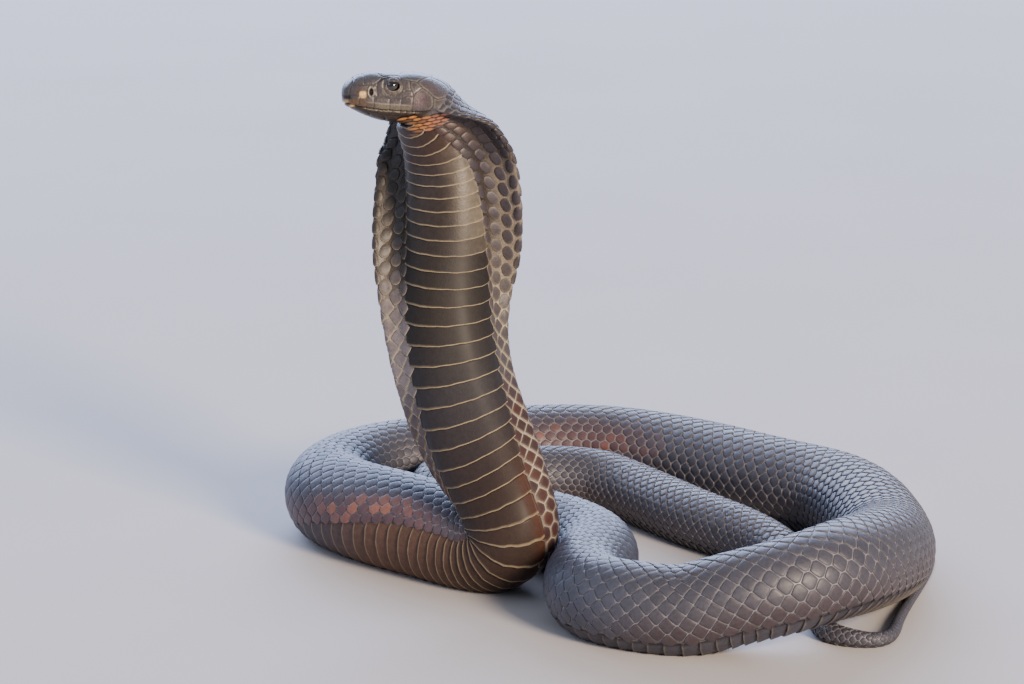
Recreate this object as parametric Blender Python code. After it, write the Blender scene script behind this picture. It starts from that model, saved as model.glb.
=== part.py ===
"""Egyptian cobra, life size: reared, hood half spread, its body laid in loops on the floor.

The snake is one long loft. A centreline runs from the snout to the tip of the tail, and at each
place along it a section says how wide the body is to the side, the back and the belly. The loft is
parted with thin cuts into head, jaw, hood, neck, coils and tail, and the eyes sit in their sockets.
Sizes are in millimetres and are scaled to metres as each mesh is made.
"""
import math

import bmesh
import bpy
import numpy as np
from mathutils import Matrix, Vector

MM = 0.001
NAME = "egyptian_cobra"
MODEL_CENTRE = (0.98, -5.61)

# Gaps between neighbouring solids
GAP = 0.3

# Head, measured back from the snout along a straight axis
SNOUT = (-114.7, -34.0, 219.3)
HEAD_AXIS = (0.975, 0.205, -0.085)
HEAD_STRAIGHT = 30.0
HEAD_END = 41.0
HEAD_ROLL = 10.0

# Eyes, nostrils and mouth: back from the snout, out from the axis, up from the axis
EYE_BACK = 20.0
EYE_UP = 4.45
EYE_RADIUS = 3.2
EYE_SUNK = 1.8
NOSTRIL_BACK = 10.8
NOSTRIL_UP = 1.6
NOSTRIL_RADIUS = 0.85
MOUTH_LINE = (
    (-6.0, -3.4), (2.0, -4.1), (5.5, -5.0), (10.5, -5.7), (16.0, -6.1), (24.0, -6.2), (30.0, -6.3),
    (34.5, -5.8), (39.5, -4.0),
)
JAW_BACK = (41.0, -30.0)

# Head sections: distance back, half width, crown above the axis, chin below it
HEAD_SECTIONS = (
    (0.0, 0.0, 0.0, 0.0),
    (0.6, 3.6, 3.0, 3.4),
    (2.2, 6.0, 5.2, 5.4),
    (6.0, 8.3, 8.0, 7.3),
    (12.0, 9.9, 9.7, 9.6),
    (18.0, 11.2, 10.1, 11.0),
    (24.0, 12.6, 9.9, 11.7),
    (31.0, 13.9, 10.7, 12.5),
    (37.5, 13.8, 12.9, 13.1),
    (41.5, 13.5, 13.7, 13.4),
)

# Height of the centreline over the floor where the body rests on it, as a share of its radius,
# which leaves a flat strip under each coil
REST_SHARE = 0.90

# Route from the nape to the tip of the tail: place (no height where it rests on the floor),
# radius, share of the hood section, share of the neck section, and where the belly faces: turn
# from the front toward the left, and dip
ROUTE = (
    ("nape", (-79.2, -26.8, 212.8), 12.8, 0.26, 0.00, 70.0, 46.0),
    ("nape_low", (-76.0, -26.0, 205.5), 13.4, 0.84, 0.00, 46.0, 18.0),
    ("throat", (-73.2, -25.4, 197.0), 13.4, 0.93, 0.00, 35.0, 4.0),
    ("hood_top", (-71.4, -25.0, 187.8), 13.6, 0.97, 0.00, 24.0, 0.0),
    ("hood", (-70.3, -26.0, 170.2), 14.2, 0.98, 0.00, 14.0, 0.0),
    ("hood_low", (-70.2, -28.0, 148.5), 15.3, 0.84, 0.16, 1.0, 0.0),
    ("neck_top", (-70.4, -31.0, 127.0), 16.4, 0.42, 0.58, -9.0, 0.0),
    ("neck_mid", (-68.6, -35.0, 105.8), 17.1, 0.12, 0.86, -10.0, 0.0),
    ("neck_low", (-63.9, -40.0, 84.9), 17.9, 0.00, 0.96, -5.0, 0.0),
    ("neck_base", (-56.4, -45.0, 64.0), 18.5, 0.00, 0.90, 7.0, 2.0),
    ("neck_foot", (-47.6, -50.0, 45.5), 18.9, 0.00, 0.60, 15.0, 8.0),
    ("elbow", (-43.4, -52.0, 26.6), 19.2, 0.00, 0.22, 13.0, 24.0),
    ("near_start", (-51.0, -43.6, 20.2), 20.0, 0.00, 0.04, 36.0, 42.0),
    ("near_first", (-60.0, -34.8, None), 21.0, 0.00, 0.00, 42.0, 37.0),
    ("near_mid", (-76.0, -20.0, None), 21.8, 0.00, 0.00, 44.0, 39.0),
    ("near_last", (-94.0, -3.5, None), 22.0, 0.00, 0.00, 46.0, 50.0),
    ("left_start", (-111.6, 16.0, None), 21.4, 0.00, 0.00, 50.0, 66.0),
    ("left", (-122.6, 38.5, None), 20.9, 0.00, 0.00, 0.0, 90.0),
    ("left_end", (-118.0, 64.0, None), 20.6, 0.00, 0.00, 0.0, 90.0),
    ("back_start", (-102.0, 84.5, None), 20.3, 0.00, 0.00, 0.0, 90.0),
    ("back_left", (-81.0, 96.8, None), 20.1, 0.00, 0.00, 0.0, 90.0),
    ("back_neck", (-56.7, 109.2, None), 20.0, 0.00, 0.00, 0.0, 90.0),
    ("back_high", (-29.1, 118.0, None), 19.8, 0.00, 0.00, 0.0, 90.0),
    ("back_mid", (-1.5, 118.5, None), 19.6, 0.00, 0.00, 0.0, 90.0),
    ("back_down", (25.8, 107.0, None), 19.6, 0.00, 0.00, 0.0, 90.0),
    ("back_right", (52.6, 86.0, None), 19.8, 0.00, 0.00, 0.0, 90.0),
    ("back_end", (79.0, 61.0, None), 20.0, 0.00, 0.00, 0.0, 90.0),
    ("right_start", (102.4, 37.6, None), 20.4, 0.00, 0.00, 0.0, 90.0),
    ("right", (116.6, 1.6, None), 20.8, 0.00, 0.00, 0.0, 90.0),
    ("right_end", (121.0, -40.8, None), 21.1, 0.00, 0.00, 0.0, 90.0),
    ("over_tail_start", (117.2, -67.7, 23.8), 21.0, 0.00, 0.00, 0.0, 90.0),
    ("over_tail", (101.4, -105.0, 29.8), 20.8, 0.00, 0.00, 0.0, 90.0),
    ("over_tail_end", (90.0, -119.8, 31.0), 20.4, 0.00, 0.00, 0.0, 90.0),
    ("front_start", (73.1, -129.0, 28.4), 20.0, 0.00, 0.00, 0.0, 90.0),
    ("front_mid", (48.8, -130.0, 22.4), 19.8, 0.00, 0.00, 0.0, 90.0),
    ("front_end", (30.0, -128.0, None), 19.4, 0.00, 0.00, 0.0, 90.0),
    ("turn_start", (12.0, -122.0, None), 19.0, 0.00, 0.00, 0.0, 90.0),
    ("turn_left", (-5.8, -107.0, None), 18.4, 0.00, 0.00, 0.0, 90.0),
    ("turn_mid", (-10.4, -83.0, None), 18.0, 0.00, 0.00, 0.0, 90.0),
    ("turn_away", (-6.6, -62.0, None), 17.8, 0.00, 0.00, 0.0, 90.0),
    ("turn_end", (-5.0, -41.0, None), 17.6, 0.00, 0.00, 0.0, 90.0),
    ("inner_start", (-14.0, -17.5, None), 17.2, 0.00, 0.00, 0.0, 90.0),
    ("inner_mid", (-31.0, 1.0, None), 16.8, 0.00, 0.00, 0.0, 90.0),
    ("inner_end", (-52.0, 14.0, None), 16.0, 0.00, 0.00, 0.0, 90.0),
    ("hairpin_start", (-70.0, 31.0, 16.5), 15.4, 0.00, 0.00, 0.0, 90.0),
    ("hairpin", (-72.0, 54.5, 17.5), 14.9, 0.00, 0.00, 0.0, 90.0),
    ("hairpin_end", (-51.5, 70.5, 16.5), 14.5, 0.00, 0.00, 0.0, 90.0),
    ("middle_start", (-24.6, 81.0, 14.8), 14.1, 0.00, 0.00, 0.0, 90.0),
    ("middle_top", (-3.0, 78.6, 13.8), 13.9, 0.00, 0.00, 0.0, 90.0),
    ("middle_down", (13.0, 64.0, None), 13.7, 0.00, 0.00, 0.0, 90.0),
    ("middle", (25.5, 46.0, None), 13.5, 0.00, 0.00, 0.0, 90.0),
    ("middle_right", (39.0, 26.0, None), 13.3, 0.00, 0.00, 0.0, 90.0),
    ("vent", (57.0, 5.0, None), 12.6, 0.00, 0.00, 0.0, 90.0),
    ("tail_root", (73.0, -16.0, None), 11.2, 0.00, 0.00, 0.0, 90.0),
    ("tail_first", (84.0, -48.0, None), 8.8, 0.00, 0.00, 0.0, 90.0),
    ("tail_under", (89.0, -90.0, None), 5.6, 0.00, 0.00, 0.0, 90.0),
    ("tail_out", (96.0, -120.0, None), 4.3, 0.00, 0.00, 0.0, 90.0),
    ("tail_turn", (111.0, -124.0, None), 3.3, 0.00, 0.00, 0.0, 90.0),
    ("tail_back", (122.0, -100.0, None), 2.5, 0.00, 0.00, 0.0, 90.0),
    ("tail_side", (129.4, -67.5, None), 1.9, 0.00, 0.00, 0.0, 90.0),
    ("tail_thin", (134.4, -48.5, None), 1.6, 0.00, 0.00, 0.0, 90.0),
    ("tail_last", (139.0, -30.5, None), 1.3, 0.00, 0.00, 0.0, 90.0),
    ("tail_end", (142.3, -14.9, None), 1.0, 0.00, 0.00, 0.0, 90.0),
    ("tip", (144.8, 1.4, None), 0.6, 0.00, 0.00, 0.0, 90.0),
)

# Sections from the middle of the belly round one side to the middle of the back. The round and
# boxed ones are for a radius of 1; the neck and hood ones are in millimetres.
SECTION_ANGLES = (0.0, 24.0, 44.0, 58.0, 70.0, 82.0, 94.0, 104.0, 118.0, 138.0, 159.0, 180.0)
BOX_POWER = 0.78
NECK_SECTION = (
    (0.0, 16.0), (8.6, 15.0), (15.0, 11.6), (19.0, 6.2), (21.6, 1.8), (24.0, -1.4),
    (25.6, -4.2), (24.6, -8.2), (20.6, -12.0), (14.4, -14.6), (7.4, -16.1), (0.0, -16.6),
)
HOOD_SECTION = (
    (0.0, 14.6), (7.8, 13.2), (13.4, 9.6), (16.8, 4.2), (19.4, -1.0), (25.2, -2.8),
    (32.6, -0.8), (32.4, -4.2), (26.6, -8.2), (18.4, -11.2), (9.2, -13.0), (0.0, -13.6),
)
HALF = len(SECTION_ANGLES) - 1

# Where the body folds on itself, with how far along it the two sides press together
FOLD = "elbow"
FOLD_REACH = 75.0

# Belly scutes: raised toward their hind edges, as far round as the strip's edge
SCUTE_EDGE = 3.0
SCUTE_HEIGHT = 0.75
SCUTE_LENGTHS = (
    ("nape", 4.2), ("throat", 4.9), ("hood_top", 5.6), ("hood", 5.8), ("hood_low", 7.0),
    ("neck_top", 8.1), ("neck_mid", 8.8), ("neck_low", 8.4), ("neck_base", 8.6), ("neck_foot", 7.2),
    ("elbow", 3.7), ("near_start", 3.6), ("near_first", 4.6), ("near_mid", 6.3), ("near_last", 6.9),
    ("left", 6.3), ("tip", 6.3),
)

# Nodes of the body: name, where it starts and ends, length of a stretch between rings (0 for one
# ring pair a scute), and the places round the section that its rings are made of
ROUND_PLACES = tuple(float(i) for i in range(0, 2 * HALF))
SCUTE_HALF_PLACES = (0.0, 0.8, 1.6, 2.3, 2.75, 3.2, 4.0, 5.0, 6.0, 7.0, 8.3, 9.6, 11.0)
TAIL_PLACES = tuple(2.0 * HALF * i / 12 for i in range(12))
BODY_NODES = (
    ("hood", "head_end", "neck_top", 0.0),
    ("neck", "neck_top", "neck_foot", 0.0),
    ("neck_bend", "neck_foot", "near_first", 0.0),
    ("coil_near", "near_first", "left_start", 0.0),
    ("coil_left", "left_start", "back_start", 8.5),
    ("coil_back_left", "back_start", "back_high", 9.5),
    ("coil_back_right", "back_high", "back_end", 9.5),
    ("coil_right", "back_end", "right_end", 9.0),
    ("coil_front_right", "right_end", "front_start", 8.0),
    ("coil_front", "front_start", "turn_start", 9.0),
    ("coil_turn", "turn_start", "turn_end", 8.0),
    ("coil_inner", "turn_end", "inner_end", 8.5),
    ("coil_hairpin", "inner_end", "middle_start", 7.0),
    ("coil_middle", "middle_start", "vent", 8.5),
    ("tail_base", "vent", "tail_under", 8.0),
    ("tail", "tail_under", "tail_back", 4.5),
    ("tail_tip", "tail_back", "tip", 6.0),
)
TAIL_NODES = ("tail", "tail_tip")

# Colours, as linear values
SLATE = (0.060, 0.060, 0.066)
BRONZE = (0.085, 0.066, 0.050)
EYE_BLACK = (0.012, 0.010, 0.010)


def unit(rows):
    """Rows of vectors, each made one long."""
    return rows / np.linalg.norm(rows, axis=-1, keepdims=True)


def natural_spline(knots, values, at):
    """Cubic spline through the values at the knots, with no bend at either end."""
    count = len(knots)
    step = np.diff(knots)
    matrix = np.zeros((count, count))
    matrix[0, 0] = 1.0
    matrix[-1, -1] = 1.0
    inner = np.arange(1, count - 1)
    matrix[inner, inner - 1] = step[:-1]
    matrix[inner, inner] = 2.0 * (step[:-1] + step[1:])
    matrix[inner, inner + 1] = step[1:]
    slope = np.diff(values, axis=0) / step[:, None]
    right = np.zeros_like(values)
    right[1:-1] = 6.0 * np.diff(slope, axis=0)
    bend = np.linalg.solve(matrix, right)
    piece = np.clip(np.searchsorted(knots, at, side="right") - 1, 0, count - 2)
    length = step[piece][:, None]
    a = (knots[piece + 1] - at)[:, None] / length
    b = 1.0 - a
    curve = ((a ** 3 - a) * bend[piece] + (b ** 3 - b) * bend[piece + 1]) * length ** 2 / 6.0
    return a * values[piece] + b * values[piece + 1] + curve


def smooth_values(knots, values, at):
    """Smooth curve through the values at the knots that never swings past them."""
    step = np.diff(knots)
    slope = np.diff(values, axis=0) / step[:, None]
    before, after = slope[:-1], slope[1:]
    product = before * after
    total = before + after
    safe = np.where(np.abs(total) < 1e-12, 1.0, total)
    tangent = np.zeros_like(values)
    tangent[1:-1] = np.where(product > 0.0, 2.0 * product / safe, 0.0)
    tangent[0] = slope[0]
    tangent[-1] = slope[-1]
    piece = np.clip(np.searchsorted(knots, at, side="right") - 1, 0, len(knots) - 2)
    length = step[piece][:, None]
    u = np.clip((at - knots[piece])[:, None] / length, 0.0, 1.0)
    start = (1.0 + 2.0 * u) * (1.0 - u) ** 2
    end = u * u * (3.0 - 2.0 * u)
    rise = u * (1.0 - u) ** 2 * length
    fall = u * u * (u - 1.0) * length
    return (start * values[piece] + end * values[piece + 1]
            + rise * tangent[piece] + fall * tangent[piece + 1])


def belly_vector(turn, dip):
    """Unit vector of the belly from its turn toward the left and its dip below level."""
    turn, dip = np.radians(turn), np.radians(dip)
    return np.array([-np.sin(turn) * np.cos(dip), -np.cos(turn) * np.cos(dip), -np.sin(dip)])


def route_place(row):
    """Place of a route row, with the height of a resting body worked out from its radius."""
    across, along, height = row[1]
    return (across, along, REST_SHARE * row[2] if height is None else height)


def smooth_step(edge0, edge1, x):
    """0 before edge0, 1 after edge1, and a smooth rise between."""
    u = np.clip((x - edge0) / (edge1 - edge0), 0.0, 1.0)
    return u * u * (3.0 - 2.0 * u)


class Snake:
    """The loft: centreline, frames and sections as functions of the distance from the snout."""

    def __init__(self):
        axis = unit(np.array(HEAD_AXIS))
        head_backs = np.array([0.0, 12.0, 24.0, HEAD_STRAIGHT])
        head_places = np.array(SNOUT) + head_backs[:, None] * axis
        places = np.vstack([head_places, [route_place(row) for row in ROUTE]])
        chords = np.linalg.norm(np.diff(places, axis=0), axis=1)
        self.knots = np.concatenate([[0.0], np.cumsum(chords)])
        self.places = places
        body = self.knots[len(head_backs):]
        self.at = {row[0]: float(knot) for row, knot in zip(ROUTE, body)}
        self.at["snout"] = 0.0
        self.at["head_end"] = HEAD_END
        roll = np.radians(HEAD_ROLL)
        head_belly = np.array([0.0, -np.sin(roll), -np.cos(roll)])
        bellies = [belly_vector(row[5], row[6]) for row in ROUTE]
        self.bellies = np.vstack([np.tile(head_belly, (len(head_backs), 1)), bellies])
        sections = np.array(HEAD_SECTIONS)
        radii = np.array([[row[2]] * 3 for row in ROUTE[1:]])
        self.size_knots = np.concatenate([np.sqrt(sections[:, 0]), np.sqrt(body[1:])])
        self.sizes = np.vstack([sections[:, 1:], radii])
        shares = np.array([[row[3], row[4], 0.0] for row in ROUTE])
        self.shares = np.vstack([np.tile([0.0, 0.0, 1.0], (len(head_backs), 1)), shares])
        names = [row[0] for row in SCUTE_LENGTHS]
        lengths = np.array([row[1] for row in SCUTE_LENGTHS])
        fine = np.arange(self.at["nape"], self.at["tip"], 0.25)
        pitch = np.interp(fine, [self.at[name] for name in names], lengths)
        self.scute_places = fine
        self.scute_counts = np.cumsum(0.25 / pitch)

    def centre(self, s):
        """Centreline at the distances s."""
        return natural_spline(self.knots, self.places, s)

    def frames(self, s):
        """Centre, side, belly and onward directions, and the bend, at the distances s."""
        reach = 0.5
        ahead = self.centre(s + reach)
        behind = self.centre(s - reach)
        onward = unit(ahead - behind)
        belly = smooth_values(self.knots, self.bellies, s)
        belly = unit(belly - onward * np.sum(belly * onward, axis=1, keepdims=True))
        side = np.cross(belly, onward)
        bend = (ahead + behind - 2.0 * self.centre(s)) / reach ** 2
        return self.centre(s), side, belly, bend

    def sections(self, s, places):
        """Side and belly offsets of each section at the places round it."""
        sizes = smooth_values(self.size_knots, self.sizes, np.sqrt(np.maximum(s, 0.0)))
        shares = smooth_values(self.knots, self.shares, s)
        width, crown, chin = sizes[:, 0:1], sizes[:, 1:2], sizes[:, 2:3]
        hood, neck, box = shares[:, 0:1], shares[:, 1:2], shares[:, 2:3]
        angles = np.radians(np.array(SECTION_ANGLES))
        sines, cosines = np.sin(angles), np.cos(angles)
        boxed_sines = np.abs(sines) ** BOX_POWER
        boxed_cosines = np.sign(cosines) * np.abs(cosines) ** BOX_POWER
        across = width * (sines + box * (boxed_sines - sines))
        deep = np.where(cosines > 0.0, chin, crown)
        along = deep * (cosines + box * (boxed_cosines - cosines))
        plain = 1.0 - hood - neck
        neck_shape = np.array(NECK_SECTION)
        hood_shape = np.array(HOOD_SECTION)
        across = plain * across + neck * neck_shape[:, 0] + hood * hood_shape[:, 0]
        along = plain * along + neck * neck_shape[:, 1] + hood * hood_shape[:, 1]
        ring_across = np.hstack([across, -across[:, HALF - 1:0:-1]])
        ring_along = np.hstack([along, along[:, HALF - 1:0:-1]])
        return self.round_ring(ring_across, places), self.round_ring(ring_along, places)

    def round_ring(self, values, places):
        """Closed smooth curve through the ring's points, read at the places round it."""
        count = 2 * HALF
        first = np.floor(places).astype(int) % count
        u = places - np.floor(places)
        p0 = values[:, (first - 1) % count]
        p1 = values[:, first]
        p2 = values[:, (first + 1) % count]
        p3 = values[:, (first + 2) % count]
        return 0.5 * (2.0 * p1 + (p2 - p0) * u + (2.0 * p0 - 5.0 * p1 + 4.0 * p2 - p3) * u ** 2
                      + (3.0 * p1 - p0 - 3.0 * p2 + p3) * u ** 3)

    def scute_raise(self, s, places):
        """How far the belly scutes stand out: rising to each hind edge, then dropping."""
        count = np.interp(s, self.scute_places, self.scute_counts)
        rise = (count - np.floor(count))[:, None]
        from_belly = np.minimum(places, 2 * HALF - places)[None, :]
        width = 1.0 - smooth_step(SCUTE_EDGE - 0.45, SCUTE_EDGE + 0.1, from_belly)
        shown = smooth_step(self.at["nape_low"], self.at["throat"], s)[:, None]
        return SCUTE_HEIGHT * (0.15 + 0.85 * rise) * width * shown

    def surface(self, s, places, scutes=False):
        """Points of the skin, one row of them round each section."""
        s = np.asarray(s, float)
        places = np.asarray(places, float)
        centre, side, belly, bend = self.frames(s)
        across, along = self.sections(s, places)
        if scutes:
            raised = self.scute_raise(s, places)
            reach = np.sqrt(across ** 2 + along ** 2) + 1e-9
            across = across * (1.0 + raised / reach)
            along = along * (1.0 + raised / reach)
        offset = across[:, :, None] * side[:, None, :] + along[:, :, None] * belly[:, None, :]
        curve = np.linalg.norm(bend, axis=1)
        inward = bend / np.maximum(curve, 1e-9)[:, None]
        limit = 0.86 / np.maximum(curve, 1e-4)
        toward = np.sum(offset * inward[:, None, :], axis=2)
        held = toward / (1.0 + (np.maximum(toward, 0.0) / limit[:, None]) ** 4) ** 0.25
        offset = offset + (held - toward)[:, :, None] * inward[:, None, :]
        points = self.pressed(s, centre[:, None, :] + offset)
        points[:, :, 2] = np.maximum(points[:, :, 2], 0.0)
        points[:, :, 0] -= MODEL_CENTRE[0]
        points[:, :, 1] -= MODEL_CENTRE[1]
        return points

    def pressed(self, s, points):
        """Points with both sides of the fold held to their own side of the plane between them."""
        fold = self.at[FOLD]
        centre, side, belly, _ = self.frames(np.array([fold]))
        onward = np.cross(side[0], belly[0])
        past = (points - centre[0]) @ onward
        room = np.minimum(GAP, np.abs(s - fold))[:, None] / 2.0
        near = (np.abs(s - fold) < FOLD_REACH)[:, None]
        before = (s < fold)[:, None]
        held = np.where(before, np.minimum(past, -room), np.maximum(past, room))
        held = np.where(near, held, past)
        return points + (held - past)[:, :, None] * onward

    def head_point(self, back, out, up):
        """World place from a distance back from the snout, out to the side and up."""
        centre, side, belly, _ = self.frames(np.array([back]))
        point = centre[0] + out * side[0] - up * belly[0]
        point[0] -= MODEL_CENTRE[0]
        point[1] -= MODEL_CENTRE[1]
        return point


def material(name, colour, roughness):
    """A plain skin finish."""
    finish = bpy.data.materials.new(name)
    finish.use_nodes = True
    shader = finish.node_tree.nodes["Principled BSDF"]
    shader.inputs["Base Color"].default_value = (*colour, 1.0)
    shader.inputs["Roughness"].default_value = roughness
    shader.inputs["Metallic"].default_value = 0.0
    return finish


def add_object(name, mesh, collection, finish):
    """Put a mesh in the scene as a node with its own finish."""
    node = bpy.data.objects.new(name, mesh)
    collection.objects.link(node)
    mesh.materials.append(finish)
    mesh.shade_smooth()
    mesh.set_sharp_from_angle(angle=math.radians(40.0))
    return node


def loft_mesh(name, points):
    """Closed mesh through rings of points, with a fan over each end."""
    rings, around, _ = points.shape
    mesh = bpy.data.meshes.new(name)
    grid = bmesh.new()
    verts = [[grid.verts.new(Vector(point) * MM) for point in ring] for ring in points]
    for i in range(rings - 1):
        for j in range(around):
            k = (j + 1) % around
            grid.faces.new((verts[i][j], verts[i + 1][j], verts[i + 1][k], verts[i][k]))
    for ring, turned in ((0, True), (rings - 1, False)):
        middle = grid.verts.new(Vector(points[ring].mean(axis=0)) * MM)
        for j in range(around):
            k = (j + 1) % around
            edge = (verts[ring][j], verts[ring][k])
            grid.faces.new((middle, *edge) if turned else (middle, *edge[::-1]))
    bmesh.ops.triangulate(grid, faces=list(grid.faces))
    bmesh.ops.recalc_face_normals(grid, faces=list(grid.faces))
    grid.to_mesh(mesh)
    grid.free()
    return mesh


def ring_places(name):
    """Places round the section that a node's rings are made of."""
    if name in TAIL_NODES:
        return np.array(TAIL_PLACES)
    if name in ("hood", "neck", "neck_bend", "coil_near"):
        half = SCUTE_HALF_PLACES
        return np.array(half + tuple(2 * HALF - place for place in half[-2:0:-1]))
    return np.array(ROUND_PLACES)


def scute_rings(snake, start, end):
    """Ring places along a scuted stretch: the crest and the foot of each hind edge."""
    numbers = np.arange(np.ceil(np.interp(start, snake.scute_places, snake.scute_counts)),
                        np.interp(end, snake.scute_places, snake.scute_counts))
    edges = np.interp(numbers, snake.scute_counts, snake.scute_places)
    crest, foot = 0.35, 0.15
    rings = np.sort(np.concatenate([edges - crest, edges + foot]))
    rings = rings[(rings > start + 0.6) & (rings < end - 0.6)]
    return np.concatenate([[start], rings, [end]])


def build_body(snake, collection, finishes):
    """The hood, neck, coils and tail, each between two thin cuts."""
    for name, first, last, spacing in BODY_NODES:
        start = snake.at[first] + GAP / 2
        end = snake.at[last] - GAP / 2
        if spacing:
            rings = np.linspace(start, end, max(3, round((end - start) / spacing) + 1))
        else:
            rings = scute_rings(snake, start, end)
        points = snake.surface(rings, ring_places(name), scutes=not spacing)
        mesh = loft_mesh(name, points)
        add_object(name, mesh, collection, finishes["belly" if not spacing else "scales"])


def head_rings(snake):
    """Ring places of the head, close together at the snout."""
    share = np.linspace(0.0, 1.0, 27)[1:]
    return np.concatenate([[0.12], HEAD_END * share ** 1.35 - (GAP / 2) * (share == 1.0)])


def head_points(snake):
    """The head's skin, with its brows, the hollows in front of the eyes and its full cheeks."""
    rings = head_rings(snake)
    places = np.linspace(0.0, 2 * HALF, 40, endpoint=False)
    points = snake.surface(rings, places)
    middle = points.mean(axis=1, keepdims=True)
    outward = unit(points - middle)
    from_belly = np.minimum(places, 2 * HALF - places)[None, :]
    back = rings[:, None]
    brow = bump(back, EYE_BACK - 0.5, 5.0) * bump(from_belly, 8.6, 0.75)
    hollow = bump(back, EYE_BACK - 7.5, 4.0) * bump(from_belly, 6.9, 1.0)
    cheek = bump(back, 32.0, 6.5) * bump(from_belly, 5.6, 1.6)
    lip = bump(from_belly, 4.6, 0.6) * smooth_step(2.0, 6.0, back) * smooth_step(40.0, 30.0, back)
    shift = 0.75 * brow - 0.55 * hollow + 0.5 * cheek + 0.3 * lip
    return points + outward * shift[:, :, None]


def bump(x, middle, width):
    """A smooth swelling of height 1 about the middle."""
    return np.exp(-((x - middle) / width) ** 2)


def cutter(name, mesh, collection):
    """A hidden tool for a Boolean."""
    tool = bpy.data.objects.new(name, mesh)
    collection.objects.link(tool)
    tool.hide_render = True
    tool.display_type = "WIRE"
    return tool


def apply_boolean(node, tool, operation):
    """Cut or keep the node with the tool, and keep the result as its mesh."""
    step = node.modifiers.new("cut", "BOOLEAN")
    step.object = tool
    step.operation = operation
    step.solver = "EXACT"
    bpy.context.view_layer.update()
    graph = bpy.context.evaluated_depsgraph_get()
    mesh = bpy.data.meshes.new_from_object(node.evaluated_get(graph))
    node.modifiers.remove(step)
    node.data = mesh
    keep_largest(mesh)


def keep_largest(mesh):
    """Keep only the largest closed surface of a mesh."""
    grid = bmesh.new()
    grid.from_mesh(mesh)
    left = set(grid.verts)
    groups = []
    while left:
        stack = [left.pop()]
        group = []
        while stack:
            vert = stack.pop()
            group.append(vert)
            for edge in vert.link_edges:
                other = edge.other_vert(vert)
                if other in left:
                    left.remove(other)
                    stack.append(other)
        groups.append(group)
    groups.sort(key=len, reverse=True)
    for group in groups[1:]:
        bmesh.ops.delete(grid, geom=group, context="VERTS")
    bmesh.ops.triangulate(grid, faces=list(grid.faces))
    bmesh.ops.dissolve_degenerate(grid, dist=1e-6, edges=list(grid.edges))
    bmesh.ops.triangulate(grid, faces=list(grid.faces))
    grid.to_mesh(mesh)
    grid.free()


def jaw_prism(name, snake, drop):
    """Prism under the mouth line, across the whole head, lowered by the drop."""
    outline = [(back, up - drop) for back, up in MOUTH_LINE]
    outline[-1] = (outline[-1][0] - drop, outline[-1][1])
    outline += [(JAW_BACK[0] - drop, JAW_BACK[1]), (MOUTH_LINE[0][0], JAW_BACK[1])]
    axis = unit(np.array(HEAD_AXIS))
    roll = np.radians(HEAD_ROLL)
    belly = np.array([0.0, -np.sin(roll), -np.cos(roll)])
    belly = unit(belly - axis * np.dot(belly, axis))
    side = np.cross(belly, axis)
    grid = bmesh.new()
    base = np.array(SNOUT) - np.array([*MODEL_CENTRE, 0.0])
    width = 25.0
    verts = [grid.verts.new(Vector(base + axis * back - belly * up - side * width) * MM)
             for back, up in outline]
    face = grid.faces.new(verts)
    moved = bmesh.ops.extrude_face_region(grid, geom=[face])
    raised = [item for item in moved["geom"] if isinstance(item, bmesh.types.BMVert)]
    bmesh.ops.translate(grid, vec=Vector(side * 2.0 * width) * MM, verts=raised)
    bmesh.ops.recalc_face_normals(grid, faces=list(grid.faces))
    mesh = bpy.data.meshes.new(name)
    grid.to_mesh(mesh)
    grid.free()
    return mesh


def ball_mesh(name, centre, radius, segments, rings):
    """A ball with its place in the mesh."""
    grid = bmesh.new()
    place = Matrix.Translation(Vector(centre) * MM)
    bmesh.ops.create_uvsphere(grid, u_segments=segments, v_segments=rings,
                              radius=radius * MM, matrix=place)
    mesh = bpy.data.meshes.new(name)
    grid.to_mesh(mesh)
    grid.free()
    return mesh


def skin_out(points, snake, back, up):
    """How far out from the axis the head's skin is, at a distance back and a height."""
    rings = head_rings(snake)
    row = int(np.argmin(np.abs(rings - back)))
    centre, side, belly, _ = snake.frames(np.array([rings[row]]))
    shift = np.array([*MODEL_CENTRE, 0.0])
    local = points[row] + shift - centre[0]
    out = local @ side[0]
    height = -(local @ belly[0])
    near = out > 0.0
    order = np.argsort(height[near])
    return float(np.interp(up, height[near][order], out[near][order]))


def build_head(snake, collection, tools, finishes):
    """Head and jaw, parted along the mouth, with eyes in their sockets and open nostrils."""
    points = head_points(snake)
    head = add_object("head", loft_mesh("head", points), collection, finishes["head"])
    jaw = add_object("jaw", loft_mesh("jaw", points), collection, finishes["head"].copy())
    under = cutter("cut_mouth", jaw_prism("cut_mouth", snake, 0.0), tools)
    keep = cutter("keep_jaw", jaw_prism("keep_jaw", snake, GAP), tools)
    apply_boolean(jaw, keep, "INTERSECT")
    apply_boolean(head, under, "DIFFERENCE")
    eye_out = skin_out(points, snake, EYE_BACK, EYE_UP) - EYE_SUNK
    nostril_out = skin_out(points, snake, NOSTRIL_BACK, NOSTRIL_UP)
    for hand, word in ((1.0, "left"), (-1.0, "right")):
        place = snake.head_point(EYE_BACK, hand * eye_out, EYE_UP)
        socket = ball_mesh("socket_" + word, place, EYE_RADIUS + GAP, 16, 10)
        apply_boolean(head, cutter("socket_" + word, socket, tools), "DIFFERENCE")
        ball = ball_mesh("eye_" + word, place, EYE_RADIUS, 16, 10)
        add_object("eye_" + word, ball, collection, finishes["eye_" + word])
        place = snake.head_point(NOSTRIL_BACK, hand * nostril_out, NOSTRIL_UP)
        pit = ball_mesh("nostril_" + word, place, NOSTRIL_RADIUS, 10, 6)
        apply_boolean(head, cutter("nostril_" + word, pit, tools), "DIFFERENCE")


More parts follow.
